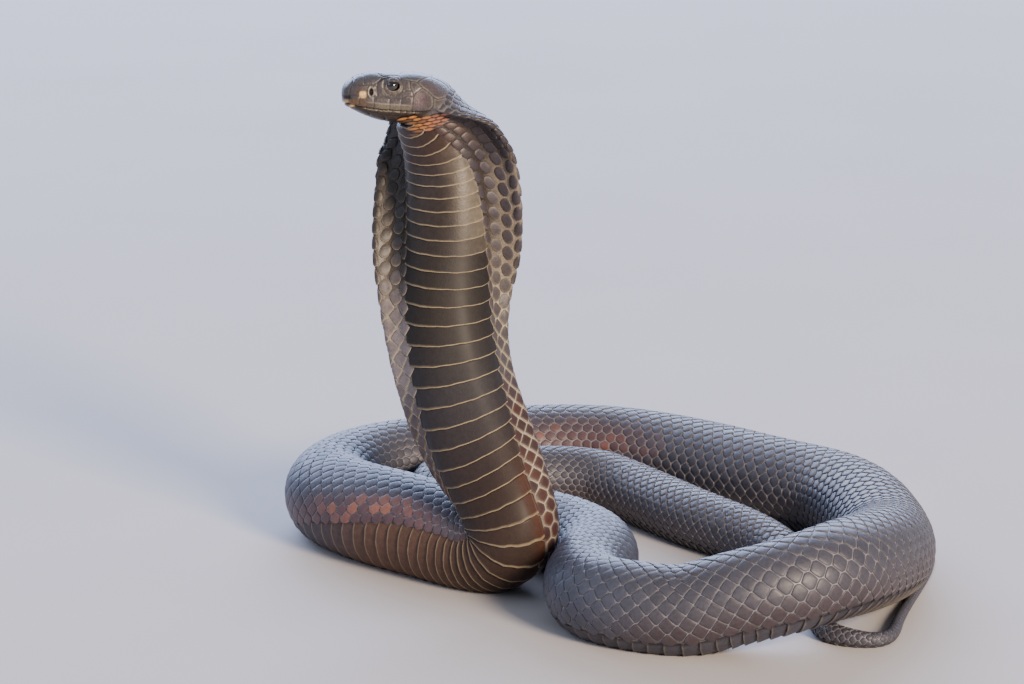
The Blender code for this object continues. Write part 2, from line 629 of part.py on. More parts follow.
def main():
    """Clear the scene and build the snake."""
    for item in list(bpy.data.objects):
        bpy.data.objects.remove(item)
    collection = bpy.data.collections.new(NAME)
    tools = bpy.data.collections.new("cutters")
    bpy.context.scene.collection.children.link(collection)
    bpy.context.scene.collection.children.link(tools)
    finishes = {
        "head": material("head_plates", SLATE, 0.32),
        "belly": material("belly_scutes", BRONZE, 0.35),
        "scales": material("body_scales", SLATE, 0.40),
        "eye_left": material("eye_glaze_left", EYE_BLACK, 0.05),
        "eye_right": material("eye_glaze_right", EYE_BLACK, 0.05),
    }
    snake = Snake()
    build_head(snake, collection, tools, finishes)
    build_body(snake, collection, finishes)


main()
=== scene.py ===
"""An Egyptian cobra, life size: reared, hood half spread, its body laid in loops on a pale floor.

The animal is one lofted form. A centreline runs from the snout to the tip of the tail, and a
section at each place along it gives the width of the body. The skin is one mesh on that form, the
head carries its shields as relief in the skin, and the belly scutes and the scales are closed
plates that lie over the skin like shingles. Lengths are in millimetres, and are turned to metres
as each mesh is written. Places on the skin are named by s, the distance along the centreline from
the snout, and by f, the share of the way round the section from the middle of the belly.
"""
from __future__ import annotations

import logging
import math
from dataclasses import dataclass, field
from enum import Enum
from typing import Any, NamedTuple

import bpy
import numpy as np
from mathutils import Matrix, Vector

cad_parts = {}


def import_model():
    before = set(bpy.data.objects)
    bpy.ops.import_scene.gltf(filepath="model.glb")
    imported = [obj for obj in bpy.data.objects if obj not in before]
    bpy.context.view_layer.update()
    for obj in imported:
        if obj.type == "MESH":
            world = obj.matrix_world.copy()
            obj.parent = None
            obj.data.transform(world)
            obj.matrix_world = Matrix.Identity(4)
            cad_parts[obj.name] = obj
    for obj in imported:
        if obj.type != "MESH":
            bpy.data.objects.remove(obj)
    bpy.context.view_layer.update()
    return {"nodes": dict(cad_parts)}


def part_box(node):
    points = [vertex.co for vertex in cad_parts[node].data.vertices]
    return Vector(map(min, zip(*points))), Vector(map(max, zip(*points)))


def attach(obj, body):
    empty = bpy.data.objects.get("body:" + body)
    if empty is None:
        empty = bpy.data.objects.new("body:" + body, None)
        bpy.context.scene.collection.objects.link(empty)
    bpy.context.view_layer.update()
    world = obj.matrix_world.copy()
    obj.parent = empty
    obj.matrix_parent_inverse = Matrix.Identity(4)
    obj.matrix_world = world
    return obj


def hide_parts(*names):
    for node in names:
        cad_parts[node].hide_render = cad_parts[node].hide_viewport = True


LOG = logging.getLogger("cobra")
MM = 0.001

# Half size of a small scale's patch on its map, as a share of the map
PATCH = 0.0013
EYE_NODES = ("eye_left", "eye_right")
Array = np.ndarray


class RoutePoint(NamedTuple):
    """One place on the centreline, with the section there and the way the belly faces."""

    name: str
    place: tuple[float, ...]
    radius: float
    hood: float = 0.0
    neck: float = 0.0
    turn: float = 0.0
    dip: float = 90.0


# Route from the nape to the tip of the tail: place (no height where the body rests on the floor),
# radius, share of the hood section, share of the neck section, turn of the belly, dip of the belly
ROUTE = tuple(RoutePoint(*row) for row in (
    ("nape", (-79.2, -26.8, 212.8), 12.8, 0.26, 0.0, 70.0, 46.0),
    ("nape_low", (-76.0, -26.0, 205.5), 13.4, 0.84, 0.0, 46.0, 18.0),
    ("throat", (-73.2, -25.4, 197.0), 13.4, 0.93, 0.0, 35.0, 4.0),
    ("hood_top", (-71.4, -25.0, 187.8), 13.6, 0.97, 0.0, 24.0, 0.0),
    ("hood", (-70.3, -26.0, 170.2), 14.2, 0.98, 0.0, 14.0, 0.0),
    ("hood_low", (-70.2, -28.0, 148.5), 15.3, 0.84, 0.16, 1.0, 0.0),
    ("neck_top", (-70.4, -31.0, 127.0), 16.4, 0.42, 0.58, -9.0, 0.0),
    ("neck_mid", (-68.6, -35.0, 105.8), 17.1, 0.12, 0.86, -10.0, 0.0),
    ("neck_low", (-63.9, -40.0, 84.9), 17.9, 0.0, 0.96, -5.0, 0.0),
    ("neck_base", (-56.4, -45.0, 64.0), 18.5, 0.0, 0.90, 7.0, 2.0),
    ("neck_foot", (-47.6, -50.0, 45.5), 18.9, 0.0, 0.60, 15.0, 8.0),
    ("elbow", (-43.4, -52.0, 26.6), 19.2, 0.0, 0.22, 13.0, 24.0),
    ("near_start", (-51.0, -43.6, 20.2), 20.0, 0.0, 0.04, 36.0, 42.0),
    ("near_first", (-60.0, -34.8), 21.0, 0.0, 0.0, 42.0, 37.0),
    ("near_mid", (-76.0, -20.0), 21.8, 0.0, 0.0, 44.0, 39.0),
    ("near_last", (-94.0, -3.5), 22.0, 0.0, 0.0, 46.0, 50.0),
    ("left_start", (-111.6, 16.0), 21.4, 0.0, 0.0, 50.0, 66.0),
    ("left", (-122.6, 38.5), 20.9),
    ("left_end", (-118.0, 64.0), 20.6),
    ("back_start", (-102.0, 84.5), 20.3),
    ("back_left", (-81.0, 96.8), 20.1),
    ("back_neck", (-56.7, 109.2), 20.0),
    ("back_high", (-29.1, 118.0), 19.8),
    ("back_mid", (-1.5, 118.5), 19.6),
    ("back_down", (25.8, 107.0), 19.6),
    ("back_right", (52.6, 86.0), 19.8),
    ("back_end", (79.0, 61.0), 20.0),
    ("right_start", (102.4, 37.6), 20.4),
    ("right", (116.6, 1.6), 20.8),
    ("right_end", (121.0, -40.8), 21.1),
    ("over_tail_start", (117.2, -67.7, 23.8), 21.0),
    ("over_tail", (101.4, -105.0, 29.8), 20.8),
    ("over_tail_end", (90.0, -119.8, 31.0), 20.4),
    ("front_start", (73.1, -129.0, 28.4), 20.0),
    ("front_mid", (48.8, -130.0, 22.4), 19.8),
    ("front_end", (30.0, -128.0), 19.4),
    ("turn_start", (12.0, -122.0), 19.0),
    ("turn_left", (-5.8, -107.0), 18.4),
    ("turn_mid", (-10.4, -83.0), 18.0),
    ("turn_away", (-6.6, -62.0), 17.8),
    ("turn_end", (-5.0, -41.0), 17.6),
    ("inner_start", (-14.0, -17.5), 17.2),
    ("inner_mid", (-31.0, 1.0), 16.8),
    ("inner_end", (-52.0, 14.0), 16.0),
    ("hairpin_start", (-70.0, 31.0, 16.5), 15.4),
    ("hairpin", (-72.0, 54.5, 17.5), 14.9),
    ("hairpin_end", (-51.5, 70.5, 16.5), 14.5),
    ("middle_start", (-24.6, 81.0, 14.8), 14.1),
    ("middle_top", (-3.0, 78.6, 13.8), 13.9),
    ("middle_down", (13.0, 64.0), 13.7),
    ("middle", (25.5, 46.0), 13.5),
    ("middle_right", (39.0, 26.0), 13.3),
    ("vent", (57.0, 5.0), 12.6),
    ("tail_root", (73.0, -16.0), 11.2),
    ("tail_first", (84.0, -48.0), 8.8),
    ("tail_under", (89.0, -90.0), 5.6),
    ("tail_out", (96.0, -120.0), 4.3),
    ("tail_turn", (111.0, -124.0), 3.3),
    ("tail_back", (122.0, -100.0), 2.5),
    ("tail_side", (129.4, -67.5), 1.9),
    ("tail_thin", (134.4, -48.5), 1.6),
    ("tail_last", (139.0, -30.5), 1.3),
    ("tail_end", (142.3, -14.9), 1.0),
    ("tip", (144.8, 1.4), 0.6),
))

# Head sections: distance back, half width, crown above the axis, chin below it
HEAD_SECTIONS = (
    (0.0, 0.0, 0.0, 0.0),
    (0.6, 3.6, 3.0, 3.4),
    (2.2, 6.0, 5.2, 5.4),
    (6.0, 8.3, 8.0, 7.3),
    (12.0, 9.9, 9.7, 9.6),
    (18.0, 11.2, 10.1, 11.0),
    (24.0, 12.6, 9.9, 11.7),
    (31.0, 13.9, 10.7, 12.5),
    (37.5, 13.8, 12.9, 13.1),
    (41.5, 13.5, 13.7, 13.4),
)

# Sections from the middle of the belly round one side to the middle of the back
SECTION_ANGLES = (0.0, 24.0, 44.0, 58.0, 70.0, 82.0, 94.0, 104.0, 118.0, 138.0, 159.0, 180.0)
NECK_SECTION = (
    (0.0, 16.0), (8.6, 15.0), (15.0, 11.6), (19.0, 6.2), (21.6, 1.8), (24.0, -1.4),
    (25.6, -4.2), (24.6, -8.2), (20.6, -12.0), (14.4, -14.6), (7.4, -16.1), (0.0, -16.6),
)
HOOD_SECTION = (
    (0.0, 14.6), (7.8, 13.2), (13.4, 9.6), (16.8, 4.2), (19.4, -1.0), (25.2, -2.8),
    (32.6, -0.8), (32.4, -4.2), (26.6, -8.2), (18.4, -11.2), (9.2, -13.0), (0.0, -13.6),
)
HALF = len(SECTION_ANGLES) - 1
STRIP_EDGE = 3.0

# Share of the strip's full width at named places: it narrows under the throat
STRIP_WIDTH = (("nape", 0.5), ("nape_low", 0.56), ("throat", 0.66), ("hood_top", 0.78), ("hood", 0.93),
               ("hood_low", 1.0))

# Mouth line on the side of the head: distance back from the snout, height over the head's axis
MOUTH_LINE = (
    (-6.0, -3.4), (2.0, -4.1), (5.5, -5.0), (10.5, -5.7), (16.0, -6.1), (24.0, -6.2), (30.0, -6.3),
    (34.5, -5.8), (39.5, -4.0),
)


def unit(rows: Array) -> Array:
    """Rows of vectors, each made one long."""
    return rows / np.maximum(np.linalg.norm(rows, axis=-1, keepdims=True), 1e-12)


def ramp(low: float, high: float, x: Array) -> Array:
    """A smooth rise from 0 at low to 1 at high: 3u^2 - 2u^3 with u the share of the way."""
    u = np.clip((x - low) / (high - low), 0.0, 1.0)
    return u * u * (3.0 - 2.0 * u)


def bump(x: Array, middle: float, width: float) -> Array:
    """A smooth swelling of height 1 about the middle: exp(-((x - middle) / width)^2)."""
    return np.exp(-((x - middle) / width) ** 2)


def natural_spline(knots: Array, values: Array, at: Array) -> Array:
    """Cubic spline through the values at the knots, with no bend at either end.

    Args:
        knots: rising places of the values.
        values: one row of numbers a knot.
        at: places to read the curve at.

    Returns:
        One row of numbers for each place.
    """
    count = len(knots)
    step = np.diff(knots)
    matrix = np.zeros((count, count))
    matrix[0, 0] = 1.0
    matrix[-1, -1] = 1.0
    inner = np.arange(1, count - 1)
    matrix[inner, inner - 1] = step[:-1]
    matrix[inner, inner] = 2.0 * (step[:-1] + step[1:])
    matrix[inner, inner + 1] = step[1:]
    right = np.zeros_like(values)
    right[1:-1] = 6.0 * np.diff(np.diff(values, axis=0) / step[:, None], axis=0)
    bend = np.linalg.solve(matrix, right)
    piece = np.clip(np.searchsorted(knots, at, side="right") - 1, 0, count - 2)
    length = step[piece][:, None]
    a = (knots[piece + 1] - at)[:, None] / length
    b = 1.0 - a
    curve = ((a ** 3 - a) * bend[piece] + (b ** 3 - b) * bend[piece + 1]) * length ** 2 / 6.0
    return a * values[piece] + b * values[piece + 1] + curve


def smooth_values(knots: Array, values: Array, at: Array) -> Array:
    """Smooth curve through the values that never swings past them.

    Each knot's slope is the harmonic mean of its neighbours' slopes, or 0 where they differ in
    sign, and each stretch is the cubic with those slopes at its ends.

    Args:
        knots: rising places of the values.
        values: one row of numbers a knot.
        at: places to read the curve at.

    Returns:
        One row of numbers for each place.
    """
    step = np.diff(knots)
    slope = np.diff(values, axis=0) / step[:, None]
    product = slope[:-1] * slope[1:]
    total = slope[:-1] + slope[1:]
    safe = np.where(np.abs(total) < 1e-12, 1.0, total)
    tangent = np.zeros_like(values)
    tangent[1:-1] = np.where(product > 0.0, 2.0 * product / safe, 0.0)
    tangent[0] = slope[0]
    tangent[-1] = slope[-1]
    piece = np.clip(np.searchsorted(knots, at, side="right") - 1, 0, len(knots) - 2)
    length = step[piece][:, None]
    u = np.clip((at - knots[piece])[:, None] / length, 0.0, 1.0)
    return ((1.0 + 2.0 * u) * (1.0 - u) ** 2 * values[piece] + u * u * (3.0 - 2.0 * u) * values[piece + 1]
            + u * (1.0 - u) ** 2 * length * tangent[piece] + u * u * (u - 1.0) * length * tangent[piece + 1])


def linear(colour: str) -> Array:
    """An sRGB hex colour as three linear values."""
    value = np.array([int(colour[i:i + 2], 16) for i in (1, 3, 5)]) / 255.0
    return np.where(value <= 0.04045, value / 12.92, ((value + 0.055) / 1.055) ** 2.4)


def shade(colour: str) -> Any:
    """A dataclass field that starts as an sRGB hex colour, made linear."""
    return field(default_factory=lambda: linear(colour))


def bilinear(table: Array, i: Array, j: Array, u: Array, v: Array) -> Array:
    """A table's value in the cells i, j, mixed from their corners by the shares u and v across."""
    return ((table[i, j] * (1.0 - v) + table[i, j + 1] * v) * (1.0 - u)
            + (table[i + 1, j] * (1.0 - v) + table[i + 1, j + 1] * v) * u)


@dataclass
class BodyForm:
    """The loft that the whole animal is made on: centreline, frames and sections by distance s."""

    snout: tuple[float, float, float] = (-114.7, -34.0, 219.3)
    head_axis: tuple[float, float, float] = (0.975, 0.205, -0.085)
    head_knots: tuple[float, ...] = (0.0, 12.0, 24.0, 30.0)
    head_roll: float = 10.0
    model_centre: tuple[float, float] = (0.98, -5.61)
    rest_share: float = 0.90
    box_power: float = 0.78
    fold: str = "elbow"
    fold_reach: float = 75.0
    fold_gap: float = 0.3
    frame_reach: float = 0.5
    bend_share: float = 0.86

    def __post_init__(self) -> None:
        """Lay out the knots of the centreline and of what changes along it."""
        self.axis = unit(np.array(self.head_axis))
        head_backs = np.array(self.head_knots)
        heads = len(head_backs)
        rest = [(*p.place, self.rest_share * p.radius)[:3] for p in ROUTE]
        self.places = np.vstack([np.array(self.snout) + head_backs[:, None] * self.axis, rest])
        chords = np.linalg.norm(np.diff(self.places, axis=0), axis=1)
        self.knots = np.concatenate([[0.0], np.cumsum(chords)])
        body = self.knots[heads:]
        self.at = {p.name: float(knot) for p, knot in zip(ROUTE, body)}
        roll = math.radians(self.head_roll)
        belly = np.array([0.0, -math.sin(roll), -math.cos(roll)])
        turn = np.radians([p.turn for p in ROUTE])
        dip = np.radians([p.dip for p in ROUTE])
        down = np.stack([-np.sin(turn) * np.cos(dip), -np.cos(turn) * np.cos(dip), -np.sin(dip)], axis=1)
        self.bellies = np.vstack([np.tile(belly, (heads, 1)), down])
        sections = np.array(HEAD_SECTIONS)
        radii = np.array([[p.radius] * 3 for p in ROUTE[1:]])
        self.size_knots = np.sqrt(np.concatenate([sections[:, 0], body[1:]]))
        self.sizes = np.vstack([sections[:, 1:], radii])
        shares = np.array([[p.hood, p.neck, 0.0] for p in ROUTE])
        self.shares = np.vstack([np.tile([0.0, 0.0, 1.0], (heads, 1)), shares])
        self.head_belly = unit(belly - self.axis * np.dot(belly, self.axis))

    def centre(self, s: Array) -> Array:
        """Centreline at the distances s."""
        return natural_spline(self.knots, self.places, s)

    def frames(self, s: Array) -> tuple[Array, Array, Array, Array]:
        """The moving frame of the centreline.

        Args:
            s: distances along the centreline.

        Returns:
            Centre, side, belly direction and bend of the centreline at each distance.
        """
        ahead = self.centre(s + self.frame_reach)
        behind = self.centre(s - self.frame_reach)
        onward = unit(ahead - behind)
        belly = smooth_values(self.knots, self.bellies, s)
        belly = unit(belly - onward * np.sum(belly * onward, axis=1, keepdims=True))
        centre = self.centre(s)
        bend = (ahead + behind - 2.0 * centre) / self.frame_reach ** 2
        return centre, np.cross(belly, onward), belly, bend

    def sections(self, s: Array) -> tuple[Array, Array]:
        """Side and belly offsets of the section's own points, one closed ring a row.

        The section is a mix of an ellipse, flatter-sided on the head, with the neck's and the
        hood's own shapes, by the shares at each distance.

        Args:
            s: distances along the centreline.

        Returns:
            Offsets to the side and toward the belly.
        """
        sizes = smooth_values(self.size_knots, self.sizes, np.sqrt(np.maximum(s, 0.0)))
        shares = smooth_values(self.knots, self.shares, s)
        width, crown, chin = sizes[:, 0:1], sizes[:, 1:2], sizes[:, 2:3]
        hood, neck, box = shares[:, 0:1], shares[:, 1:2], shares[:, 2:3]
        angles = np.radians(np.array(SECTION_ANGLES))
        sines, cosines = np.sin(angles), np.cos(angles)
        boxed_sines = np.abs(sines) ** self.box_power
        boxed_cosines = np.sign(cosines) * np.abs(cosines) ** self.box_power
        across = width * (sines + box * (boxed_sines - sines))
        along = np.where(cosines > 0.0, chin, crown) * (cosines + box * (boxed_cosines - cosines))
        neck_shape, hood_shape = np.array(NECK_SECTION), np.array(HOOD_SECTION)
        plain = 1.0 - hood - neck
        across = plain * across + neck * neck_shape[:, 0] + hood * hood_shape[:, 0]
        along = plain * along + neck * neck_shape[:, 1] + hood * hood_shape[:, 1]
        return (np.hstack([across, -across[:, HALF - 1:0:-1]]),
                np.hstack([along, along[:, HALF - 1:0:-1]]))

    @staticmethod
    def round_ring(values: Array, places: Array) -> Array:
        """Closed smooth curve through each row's ring, read at that row's places round it."""
        count = 2 * HALF
        first = np.floor(places).astype(int)
        u = places - first
        p0, p1, p2, p3 = (np.take_along_axis(values, (first + k) % count, axis=1) for k in (-1, 0, 1, 2))
        return 0.5 * (2.0 * p1 + (p2 - p0) * u + (2.0 * p0 - 5.0 * p1 + 4.0 * p2 - p3) * u ** 2
                      + (3.0 * p1 - p0 - 3.0 * p2 + p3) * u ** 3)

    def surface(self, s: Array, places: Array) -> Array:
        """Points of the bare form.

        On the inner side of a bend the offset is held short of the bend's centre, so the skin
        creases there and doesn't pass through itself.

        Args:
            s: distances along the centreline.
            places: a row of section places, 0 to 22, for each distance.

        Returns:
            Points, as distances by places by 3.
        """
        centre, side, belly, bend = self.frames(s)
        ring_across, ring_along = self.sections(s)
        across = self.round_ring(ring_across, places)
        along = self.round_ring(ring_along, places)
        offset = across[:, :, None] * side[:, None, :] + along[:, :, None] * belly[:, None, :]
        curve = np.linalg.norm(bend, axis=1)
        inward = bend / np.maximum(curve, 1e-9)[:, None]
        limit = self.bend_share / np.maximum(curve, 1e-4)
        toward = np.sum(offset * inward[:, None, :], axis=2)
        held = toward / (1.0 + (np.maximum(toward, 0.0) / limit[:, None]) ** 4) ** 0.25
        offset = offset + (held - toward)[:, :, None] * inward[:, None, :]
        points = self.pressed(s, centre[:, None, :] + offset)
        points[:, :, 2] = np.maximum(points[:, :, 2], 0.0)
        points[:, :, 0] -= self.model_centre[0]
        points[:, :, 1] -= self.model_centre[1]
        return points

    def pressed(self, s: Array, points: Array) -> Array:
        """Hold both sides of the fold to their own side of the plane between them.

        Args:
            s: the rings' distances.
            points: the rings' points.

        Returns:
            The held points.
        """
        fold = self.at[self.fold]
        centre, side, belly, _ = self.frames(np.array([fold]))
        onward = np.cross(side[0], belly[0])
        past = (points - centre[0]) @ onward
        room = np.minimum(self.fold_gap, np.abs(s - fold))[:, None] / 2.0
        held = np.where((s < fold)[:, None], np.minimum(past, -room), np.maximum(past, room))
        held = np.where((np.abs(s - fold) < self.fold_reach)[:, None], held, past)
        return points + (held - past)[:, :, None] * onward

    def named(self, rows: tuple[tuple, ...], s: Array, column: int = 1) -> Array:
        """A column of a table whose rows start with a named place, read between those places."""
        return np.interp(s, [self.at[row[0]] for row in rows], [row[column] for row in rows])

    def even_places(self, s: Array, fine: int, even: Array) -> tuple[Array, Array]:
        """Places round each ring at even shares of its length.

        Args:
            s: the rings' distances.
            fine: how many steps the length is measured in.
            even: the shares.

        Returns:
            The places, and the length round to each fine step.
        """
        places = np.tile(np.linspace(0.0, 2.0 * HALF, fine + 1), (len(s), 1))
        arc = np.zeros(places.shape)
        rings = self.surface(s, places)
        arc[:, 1:] = np.cumsum(np.linalg.norm(np.diff(rings, axis=1), axis=2), axis=1)
        row = 2.0 * np.arange(len(s))[:, None]
        share = arc / arc[:, -1:]
        turned = np.interp((row + even).ravel(), (row + share).ravel(), places.ravel())
        return turned.reshape(len(s), len(even)), arc

    def head_origin(self) -> Array:
        """Place of the snout in the model's own frame."""
        return np.array(self.snout) - np.array([*self.model_centre, 0.0])

    def head_place(self, points: Array) -> tuple[Array, Array]:
        """Place of points in the head's side plane.

        Args:
            points: points in the model's frame.

        Returns:
            Distance back from the snout, and height over the head's axis.
        """
        local = points - self.head_origin()
        back = local @ self.axis
        up = -(local - back[..., None] * self.axis) @ self.head_belly
        return back, up


@dataclass
class SkinTable:
    """A fine table of the form: place, outward normal and stretch, by s and f."""

    form: BodyForm
    start: float = 1.0
    step: float = 0.5
    around: int = 384
    fine: int = 528

    def __post_init__(self) -> None:
        """Measure round each ring and tabulate the form at even shares of its length."""
        self.s = np.arange(self.start, self.form.at["tip"], self.step)
        self.places, arc = self.form.even_places(self.s, self.fine, np.linspace(0.0, 1.0, self.around + 1))
        self.girth = arc[:, -1]
        share = arc / self.girth[:, None]
        self.edge_place = STRIP_EDGE * self.form.named(STRIP_WIDTH, self.s)
        column = self.edge_place / (2.0 * HALF) * self.fine
        low, rows = column.astype(int), np.arange(len(self.s))
        part = column - low
        self.edge_low = share[rows, low] * (1.0 - part) + share[rows, low + 1] * part
        high = self.fine - low
        self.edge_high = share[rows, high] * (1.0 - part) + share[rows, high - 1] * part
        self.points = self.form.surface(self.s, self.places)
        along = np.gradient(self.points, axis=0)
        wrapped = np.concatenate([self.points[:, -2:-1], self.points, self.points[:, 1:2]], axis=1)
        across = (wrapped[:, 2:] - wrapped[:, :-2]) / 2.0
        self.normals = unit(np.cross(along, across))
        self.stretch = np.linalg.norm(along, axis=2) / self.step

    def cell(self, s: Array, f: Array) -> tuple[Array, Array, Array, Array]:
        """The table's cell at each place.

        Args:
            s: distances along the body.
            f: shares of the way round.

        Returns:
            Row and column of the cell, and the shares of the way across it.
        """
        row = np.clip((s - self.s[0]) / self.step, 0.0, len(self.s) - 1.001)
        column = (f % 1.0) * self.around
        i = row.astype(int)
        j = np.minimum(column.astype(int), self.around - 1)
        return i, j, row - i, column - j

    def blend(self, table: Array, s: Array, f: Array) -> Array:
        """A table's value at each place, mixed from the four corners of its cell.

        Args:
            table: values on the grid.
            s: distances along the body.
            f: shares of the way round.

        Returns:
            One value a place.
        """
        i, j, u, v = self.cell(s, f)
        if table.ndim == 3:
            u, v = u[..., None], v[..., None]
        return bilinear(table, i, j, u, v)

    def lifted(self, s: Array, f: Array, height: Array | float) -> Array:
        """Points at a height over the form, never under the floor.

        Args:
            s: distances along the body.
            f: shares of the way round.
            height: millimetres along the normal.

        Returns:
            The points.
        """
        points = self.blend(self.points, s, f)
        points = points + self.blend(self.normals, s, f) * np.asarray(height)[..., None]
        points[..., 2] = np.maximum(points[..., 2], 0.0)
        return points

    def row_value(self, values: Array, s: Array) -> Array:
        """A value that depends on s alone, such as the girth."""
        return np.interp(s, self.s, values)

    def round_share(self, s: Array, q: Array, strip: bool = False) -> Array:
        """The f of a share q of the way over the back, or over the strip.

        Args:
            s: distances along the body.
            q: shares of the way from edge to edge.
            strip: over the belly strip.

        Returns:
            One share of the whole way round a place.
        """
        low = self.row_value(self.edge_low, s)
        if strip:
            return (low * (2.0 * q - 1.0)) % 1.0
        return low + q * (self.row_value(self.edge_high, s) - low)

    def row_stretch(self, q: float, strip: bool = False) -> Array:
        """Length of skin to a millimetre of centreline along one row, at each of the table's rings."""
        return np.maximum(self.blend(self.stretch, self.s, self.round_share(self.s, q, strip)), 0.02)


@dataclass
class Counter:
    """Counts scutes or scales along the body from their lengths at named places."""

    form: BodyForm
    lengths: tuple[tuple[str, float], ...]
    start: float = 30.0
    step: float = 0.25

    def __post_init__(self) -> None:
        """Add up one over the length, step by step."""
        self.s = np.arange(self.start, self.form.at["tip"], self.step)
        self.length = self.form.named(self.lengths, self.s)
        self.count = np.cumsum(self.step / self.length)

    def number(self, s: Array) -> Array:
        """Count from the start to s."""
        return np.interp(s, self.s, self.count)

    def place(self, number: Array) -> Array:
        """Distance s of a count."""
        return np.interp(number, self.count, self.s)

    def pitch(self, s: Array) -> Array:
        """Length of one at s."""
        return np.interp(s, self.s, self.length)


class Slot(Enum):
    """Names of material slots for the head plates, belly scutes, body scales and eyes; nothing in this
    script uses them.
    """

    HEAD = "head_plates"
    BELLY = "belly_scutes"
    SCALES = "body_scales"
    EYES = "eyes"


def mix(first: Array, second: Array, share: Array | float) -> Array:
    """First and second mixed by the share, which may be one number or one a row."""
    share = np.asarray(share)[..., None]
    return first * (1.0 - share) + second * share


def layered(base: Array, shape: tuple[int, ...], *layers: tuple[Array, Array | float]) -> Array:
    """A base colour with layers mixed over it in turn.

    Args:
        base: the colour under them.
        shape: shape of the array of places.
        layers: (paint, share) of each.

    Returns:
        One colour a place.
    """
    colour = np.broadcast_to(base, (*shape, 3))
    for paint, share in layers:
        colour = mix(colour, paint, share)
    return colour


def nearest(points: Array, samples: Array, chunk: int = 2500) -> Array:
    """Distance from each point to the nearest sample, a chunk of points at a time.

    Args:
        points: points to measure from.
        samples: points to measure to.
        chunk: how many points at a time.

    Returns:
        One distance a point.
    """
    own = np.sum(samples ** 2, axis=1)
    parts = []
    for start in range(0, len(points), chunk):
        block = points[start:start + chunk]
        square = np.sum(block ** 2, axis=1)[:, None] + own - 2.0 * block @ samples.T
        parts.append(np.sqrt(np.maximum(square.min(axis=1), 0.0)))
    return np.concatenate(parts)


@dataclass
class MeshParts:
    """The arrays of one mesh, lengths in millimetres."""

    points: Array
    loops: Array
    totals: Array
    tint: Array
    gloss: Array
    uv: Array | None = None

    @property
    def triangles(self) -> int:
        """How many triangles the faces make."""
        return int(np.sum(self.totals - 2))


def band(here: Array, there: Array) -> Array:
    """Faces of four corners between closed rings, or between rows of closed rings."""
    return np.stack([here, there, np.roll(there, -1, axis=-1), np.roll(here, -1, axis=-1)], axis=-1)


def fan(point: int, ring: Array, forward: bool = True) -> Array:
    """Triangles from a point to each side of a closed ring."""
    onward = np.roll(ring, -1)
    return np.stack([np.full(len(ring), point), *((ring, onward) if forward else (onward, ring))], axis=1)


def face_list(blocks: list[Array]) -> tuple[Array, Array]:
    """Corners of all faces in one row, and how many each face has, from blocks of like faces."""
    return (np.concatenate([block.ravel() for block in blocks]),
            np.concatenate([np.full(block.size // block.shape[-1], block.shape[-1]) for block in blocks]))


def repeated(points: Array, faces: tuple[Array, Array], tint: Array, gloss: Array, uv: Array) -> MeshParts:
    """One mesh of plates that all have the same faces.

    Args:
        points, tint, gloss, uv: arrays with a row a plate.
        faces: corners and corner counts of one plate.

    Returns:
        The arrays of the whole mesh.
    """
    count, loops = len(points), faces[0]
    tint = tint.reshape(-1, 3)
    all_loops = loops[None, :] + len(tint) // count * np.arange(count)[:, None]
    return MeshParts(points.reshape(-1, 3), all_loops.ravel(), np.tile(faces[1], count), tint,
                     gloss.ravel(), uv.reshape(-1, 2))


def join_parts(made: list[MeshParts]) -> MeshParts:
    """Several meshes' arrays as one.

    Args:
        made: the meshes, each with its map.

    Returns:
        The arrays of them all, in order.
    """
    offsets = np.concatenate([[0], np.cumsum([len(part.points) for part in made])])
    return MeshParts(np.vstack([part.points for part in made]),
                     np.concatenate([part.loops + offset for part, offset in zip(made, offsets)]),
                     np.concatenate([part.totals for part in made]),
                     np.vstack([part.tint for part in made]),
                     np.concatenate([part.gloss for part in made]),
                     np.vstack([part.uv for part in made]))


def make_piece(name: str, parts: MeshParts, finish: bpy.types.Material,
               replaces: tuple[str, ...] = ()) -> bpy.types.Object:
    """Write the arrays into a mesh and put it in the scene as a piece that rides on the root.

    Args:
        name: name of the piece.
        parts: its points, faces, colours and, for scales, its map.
        finish: its material.
        replaces: nodes of the frame that it stands for.

    Returns:
        The new object.
    """
    mesh = bpy.data.meshes.new(name)
    mesh.vertices.add(len(parts.points))
    mesh.vertices.foreach_set("co", (parts.points * MM).ravel())
    mesh.loops.add(len(parts.loops))
    mesh.loops.foreach_set("vertex_index", parts.loops.astype(np.int32))
    mesh.polygons.add(len(parts.totals))
    starts = np.concatenate([[0], np.cumsum(parts.totals)[:-1]])
    mesh.polygons.foreach_set("loop_start", starts.astype(np.int32))
    mesh.polygons.foreach_set("use_smooth", np.ones(len(parts.totals), bool))
    mesh.update(calc_edges=True)
    tint = mesh.attributes.new("tint", "FLOAT_COLOR", "POINT")
    tint.data.foreach_set("color", np.hstack([parts.tint, np.ones((len(parts.tint), 1))]).ravel())
    gloss = mesh.attributes.new("gloss", "FLOAT", "POINT")
    gloss.data.foreach_set("value", parts.gloss)
    if parts.uv is not None:
        layer = mesh.uv_layers.new(name="OFBake")
        layer.data.foreach_set("uv", parts.uv[parts.loops].ravel())
    mesh.materials.append(finish)
    piece = in_scene(name, mesh)
    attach(piece, "root")
    if replaces:
        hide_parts(*replaces)
    LOG.info("%s: %d triangles", name, parts.triangles)
    return piece


def in_scene(name: str, data: bpy.types.ID) -> bpy.types.Object:
    """A new object with this data, linked into the scene."""
    thing = bpy.data.objects.new(name, data)
    bpy.context.scene.collection.objects.link(thing)
    return thing


def new_finish(name: str) -> tuple[bpy.types.Material, bpy.types.NodeTree, bpy.types.Node]:
    """A new material, its nodes and its main shader."""
    finish = bpy.data.materials.new(name)
    finish.use_nodes = True
    return finish, finish.node_tree, finish.node_tree.nodes["Principled BSDF"]


